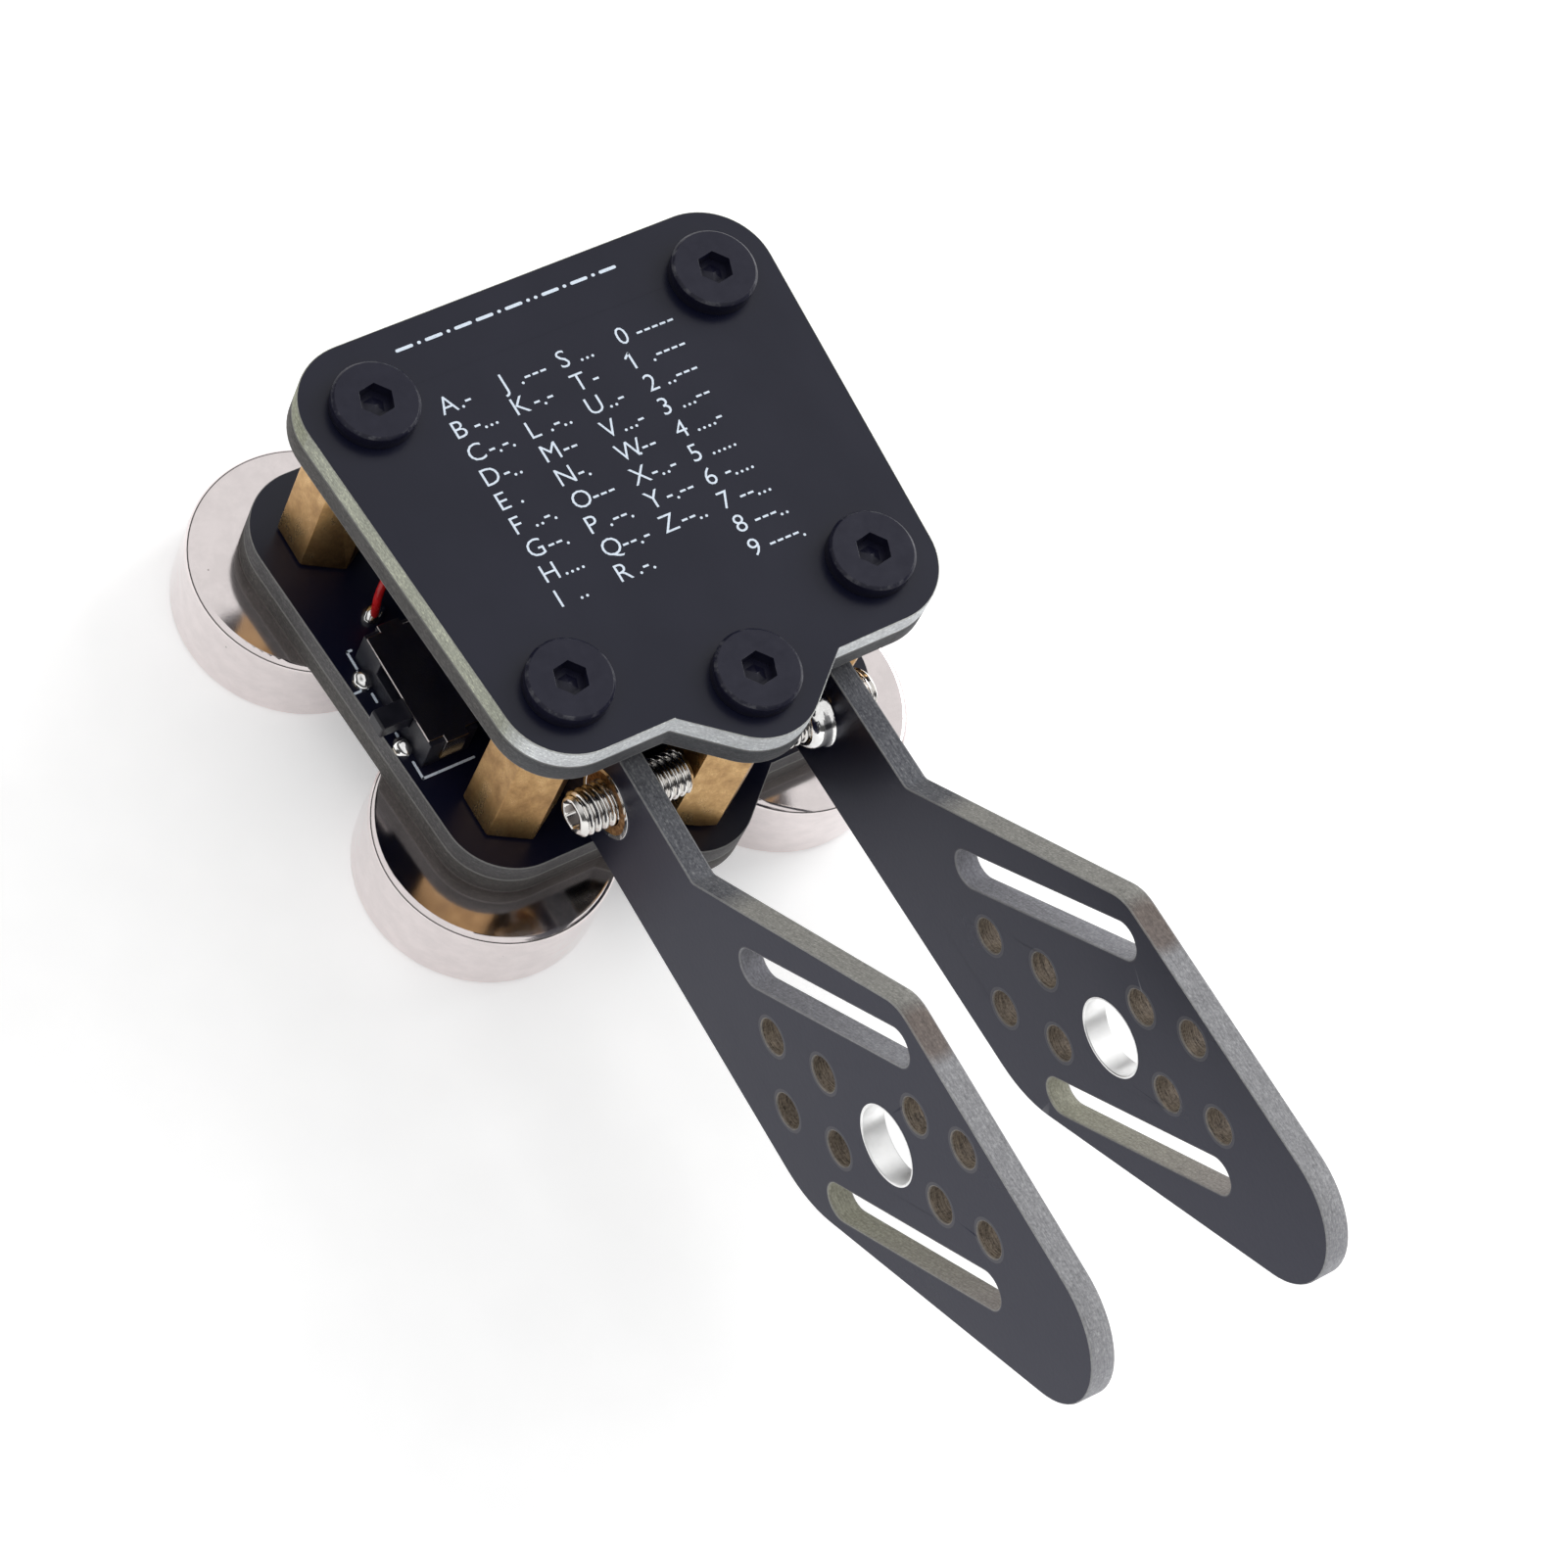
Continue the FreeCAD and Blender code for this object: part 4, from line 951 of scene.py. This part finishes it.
def bush_pads(side_name, tin, bronze):
    """The bush's end on the outer face: a browned pad inside a narrow tinned border."""
    face, axis = bush_face(side_name)
    face = face + axis * BOARD / 2
    body = f"{side_name}_paddle"
    ring_plate(f"{side_name}_bush_border", face, axis, PAD_RADIUS, BORDER_RADIUS,
               0.06 * MM, 0.02 * MM, tin, body)
    ring_plate(f"{side_name}_bush_pad", face, axis, BUSH_BORE, PAD_RADIUS,
               0.03 * MM, 0.01 * MM, bronze, body)


def socket_floors(metal):
    """The low six-sided point left by the broach at the bottom of each socket of the top screws."""
    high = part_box("top_screws")[1]
    centres = disc_centres("top_screws", high.z, SCREW_HEAD + 0.5 * MM)
    for number, centre in enumerate(centres):
        floor = centre - UP * SOCKET_DEPTH
        corner = corner_angle("top_screws", centre, SOCKET_CORNER)
        profile = [(1.0, 0.0), (1.0, 0.03 * MM), (0.60, 0.05 * MM), (0.04, 0.22 * MM)]
        hexagonal = [
            ring(floor, UP, part * SOCKET_CORNER, height, 6, corner) for part, height in profile
        ]
        name = f"socket_floor_{number}"
        add_mesh(name, loft(name, hexagonal), metal, "frame", smooth=False)


def corner_angle(node, centre, radius):
    """The angle at which a socket round this centre has its first corner."""
    for vertex in NODES[node].data.vertices:
        away = vertex.co - centre
        off_radius = abs(math.hypot(away.x, away.y) - radius)
        if abs(away.z) < TOLERANCE and off_radius < 2 * TOLERANCE:
            return math.atan2(away.y, away.x)
    return 0.0


# Two diamonds of small holes in a paddle: middle (reach, level), half sizes along and up, lean
HOLE_GROUPS = [
    (42.9 * MM, 18.8 * MM, 3.9 * MM, 3.3 * MM, 0.3 * MM),
    (53.7 * MM, 29.35 * MM, 4.15 * MM, 3.0 * MM, -0.45 * MM),
]


def small_holes(side_name):
    """Centres of the small drilled holes of a paddle."""
    centres = []
    for reach, level, along, up, lean in HOLE_GROUPS:
        centres.append(on_paddle(side_name, reach - along, level))
        centres.append(on_paddle(side_name, reach + along, level))
        centres.append(on_paddle(side_name, reach + lean, level + up))
        centres.append(on_paddle(side_name, reach - lean, level - up))
    return centres


# ---------------------------------------------------------------- dress the CAD parts

# Tints of the sawn edges, which multiply the grey of the laminate; the lighter tints towards the
# operator are painted light
OLIVE = (2.75, 2.85, 2.05)
GREY_WHITE = (6.2, 6.4, 6.4)
UMBER = (0.62, 0.58, 0.54)
DARK_GREY = (0.62, 0.64, 0.68)
BASE_GREY = (0.72, 0.70, 0.70)
PADDLE_SIDE = (0.88, 0.90, 0.92)
PADDLE_FRONT = (3.0, 3.0, 3.05)

# Colours of the patches on the paddles' edges
BEIGE = (0.300, 0.293, 0.262)
SILVER = (0.335, 0.335, 0.340)
BROWN = (0.175, 0.142, 0.118)
PALE_OLIVE = (0.27, 0.26, 0.18)

# Long holes at 45 degrees in a paddle: (reach, level) of the ends, colours of the wall at the ends
SLOT_RUN = 15.2 / math.sqrt(2) * MM
SLOTS = [
    ((35.35 * MM, 21.1 * MM), (35.35 * MM + SLOT_RUN, 21.1 * MM + SLOT_RUN),
     (0.22, 0.22, 0.235), (0.34, 0.34, 0.355)),
    ((48.9 * MM, 15.25 * MM), (48.9 * MM + SLOT_RUN, 15.25 * MM + SLOT_RUN),
     (0.37, 0.365, 0.290), (0.34, 0.315, 0.290)),
]

# Tints of each board's edges: at the sides, and towards the operator, where a lighter tint is painted
# light
plates = {
    "top_plate_outer": (OLIVE, GREY_WHITE),
    "top_plate_inner": (UMBER, DARK_GREY),
    "base_plate_inner": (BASE_GREY, BASE_GREY),
    "base_plate_outer": (UMBER, UMBER),
}
for node, (side_tint, front_tint) in plates.items():
    level = middle(node).z
    finish = board_finish(f"{node}_board", (0, 0, 1), side_tint, front_tint, level,
                          PLATE_MASK, PLATE_GLOSS)
    paint(node, finish)
    soften(node, 0.06 * MM)

for side_name in SIDES:
    axis = outward(side_name)
    level = on_paddle(side_name, 0.0, 0.0).dot(axis)
    warm = [
        (on_paddle(side_name, 38.5 * MM, 29.0 * MM), 10.5 * MM, BEIGE),
        (on_paddle(side_name, 57.0 * MM, 33.5 * MM), 11.0 * MM, SILVER),
        (on_paddle(side_name, 46.8 * MM, 33.0 * MM), 2.6 * MM, BROWN),
        (on_paddle(side_name, 45.5 * MM, 11.8 * MM), 3.5 * MM, PALE_OLIVE),
    ]
    slots = [
        (on_paddle(side_name, *start), on_paddle(side_name, *end), first, last)
        for start, end, first, last in SLOTS
    ]
    finish = board_finish(f"{side_name}_paddle_board", tuple(axis), PADDLE_SIDE, PADDLE_FRONT,
                          level, PADDLE_MASK, PADDLE_GLOSS,
                          warm, small_holes(side_name), slots)
    paint(f"{side_name}_paddle", finish)
    soften(f"{side_name}_paddle", 0.07 * MM)

brass = brass_finish()
oxide = black_oxide_finish()
magnet = nickel_finish("magnet_nickel", (0.80, 0.735, 0.728), 0.11, 0.0015 * MM)
bright = nickel_finish("screw_nickel", (0.84, 0.82, 0.79), 0.14, 0.001 * MM)
tin = solder_finish()
# A darker copy of the screws' nickel: painted shade for the inside of the set screws' sockets
shaded = nickel_finish("socket_painted_shade_nickel", (0.33, 0.30, 0.285), 0.30, 0.004 * MM)
plating = nickel_finish("hole_plating", (0.97, 0.97, 0.965), 0.42, 0.002 * MM)
bronze = flux_finish()
black = plastic_finish("black_plastic", (0.0075, 0.0075, 0.0130), 0.40)
# The front tongue of the switch cover, where a painted reflection of the brass standoff lies
tongue = Vector((middle("switch_shell").x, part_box("switch_shell")[0].y, DECK + 1.0 * MM))
cover = sheet_finish("switch_cover", (0.55, 0.51, 0.50), 0.22, (tongue, 1.3 * MM))
strip = sheet_finish("tinned_strip", (0.72, 0.66, 0.56), 0.26)
sleeve = plastic_finish("red_sleeve", (0.42, 0.010, 0.012), 0.26)
ink = ink_finish()

# Material of each node, and how far its sharp edges are broken in millimetres
finishes = {
    "corner_standoffs": (brass, 0.10),
    "contact_post": (brass, 0.10),
    "top_screws": (oxide, 0.05),
    "magnet_screws": (oxide, 0.0),
    "post_screw": (oxide, 0.05),
    "base_magnets": (magnet, 0.0),
    "left_return_magnet": (magnet, 0.12),
    "right_return_magnet": (magnet, 0.12),
    "switch_body": (black, 0.06),
    "switch_shell": (cover, 0.05),
    "switch_slider": (black, 0.12),
    "switch_pins": (strip, 0.04),
    "jack_body": (black, 0.12),
    "jack_nose": (bright, 0.10),
    "jack_contacts": (strip, 0.05),
    "left_wire": (sleeve, 0.0),
    "right_wire": (sleeve, 0.0),
}
for node, (material, width) in finishes.items():
    paint(node, material)
    if width:
        soften(node, width * MM)


# ---------------------------------------------------------------- add the finer pieces

print_chart(ink)
print_border_row(ink)
print_switch_outline(ink)
socket_floors(oxide)
for number, side_name in enumerate(SIDES):
    set_screw(side_name, bright, shaded)
    plate_eye(side_name, plating)
    bush_pads(side_name, tin, bronze)
    soldered_bush(side_name, 7 + number, tin)

def solder_lugs(tin):
    """The switch's two fixing lugs, soldered to the base board beside its housing."""
    low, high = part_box("switch_pins")
    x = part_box("switch_body")[0].x - 0.38 * MM
    for number, y in enumerate((low.y + 0.25 * MM, high.y - 0.25 * MM)):
        solder_blob(f"lug_solder_{number}", Vector((x, y, DECK)), 1.25 * MM, 1.45 * MM, 0.75 * MM,
                    0.2, 20 + number, tin)


def solder_wires(tin):
    """The front end of each wire, soldered to the base board."""
    inset = 0.5 * MM
    for number, (side_name, side) in enumerate(SIDES.items()):
        name = f"{side_name}_wire"
        low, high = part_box(name)
        x = low.x + inset if side < 0 else high.x - inset
        solder_blob(f"{name}_solder", Vector((x, low.y + inset, DECK)), 1.9 * MM, 1.35 * MM, 0.95 * MM,
                    side * -0.5, 31 + number, tin)


solder_lugs(tin)
solder_wires(tin)


# ---------------------------------------------------------------- floor, light and camera

def make_floor():
    """A wide plain table top under the key."""
    size = 3.0
    corners = [(-size, -size), (size, -size), (size, size), (-size, size)]
    mesh = bpy.data.meshes.new("floor")
    mesh.from_pydata([(x, y, CAD_BOX[0][2]) for x, y in corners], [], [(0, 1, 2, 3)])
    floor = bpy.data.objects.new("floor", mesh)
    bpy.context.scene.collection.objects.link(floor)
    mesh.materials.append(floor_finish())


KEY_MIDDLE = Vector((0, -20, 15)) * MM


def soft_light(name, place, size, power):
    """A square soft box that looks at the key."""
    light = bpy.data.lights.new(name, "AREA")
    light.size = size
    light.energy = power
    lamp = bpy.data.objects.new(name, light)
    lamp.location = place
    lamp.rotation_euler = (KEY_MIDDLE - Vector(place)).to_track_quat("-Z", "Y").to_euler()
    bpy.context.scene.collection.objects.link(lamp)


def white_room(ceiling, horizon):
    """A white ceiling that fades to a dark horizon, so bright metal has something to reflect."""
    fade_start = 0.26
    fade_end = 0.50
    world = bpy.data.worlds.new("studio")
    world.use_nodes = True
    tree = world.node_tree
    background = tree.nodes["Background"]
    background.inputs["Color"].default_value = (1.0, 1.0, 1.0, 1.0)
    look = tree.nodes.new("ShaderNodeTexCoord")
    height = tree.nodes.new("ShaderNodeSeparateXYZ")
    tree.links.new(look.outputs["Generated"], height.inputs[0])
    fade = tree.nodes.new("ShaderNodeMapRange")
    fade.interpolation_type = "SMOOTHSTEP"
    fade.inputs["From Min"].default_value = fade_start
    fade.inputs["From Max"].default_value = fade_end
    fade.inputs["To Min"].default_value = horizon
    fade.inputs["To Max"].default_value = ceiling
    tree.links.new(height.outputs["Z"], fade.inputs["Value"])
    tree.links.new(fade.outputs["Result"], background.inputs["Strength"])
    bpy.context.scene.world = world


# The camera's direction from the key, its roll, and its distance from the point it looks at
VIEW_AZIMUTH = math.radians(-58.70)
VIEW_ELEVATION = math.radians(58.51)
VIEW_ROLL = math.radians(30.60)
VIEW_DISTANCE = 342.7 * MM
VIEW_TARGET = Vector((0.89, -19.52, 18.65)) * MM
VIEW_LENS = 131.2


def place_camera():
    """Look down at the middle of the key along the view's direction."""
    right = Vector((math.cos(VIEW_AZIMUTH), math.sin(VIEW_AZIMUTH), 0))
    forward = Vector((
        -math.sin(VIEW_AZIMUTH) * math.cos(VIEW_ELEVATION),
        math.cos(VIEW_AZIMUTH) * math.cos(VIEW_ELEVATION),
        -math.sin(VIEW_ELEVATION),
    ))
    above = right.cross(forward)
    across = right * math.cos(VIEW_ROLL) + above * math.sin(VIEW_ROLL)
    above = above * math.cos(VIEW_ROLL) - right * math.sin(VIEW_ROLL)
    lens = bpy.data.cameras.new("photo_camera")
    lens.sensor_width = 36.0
    lens.lens = VIEW_LENS
    lens.clip_start = 0.01
    camera = bpy.data.objects.new("photo_camera", lens)
    turn = Matrix((across, above, -forward)).transposed().to_4x4()
    camera.matrix_world = Matrix.Translation(VIEW_TARGET - forward * VIEW_DISTANCE) @ turn
    bpy.context.scene.collection.objects.link(camera)
    bpy.context.scene.camera = camera


make_floor()
soft_light("key_light", place=(0.45, 0.02, 0.24), size=0.30, power=1.4)
white_room(ceiling=0.90, horizon=0.08)
place_camera()
bpy.context.scene.view_settings.view_transform = "Standard"
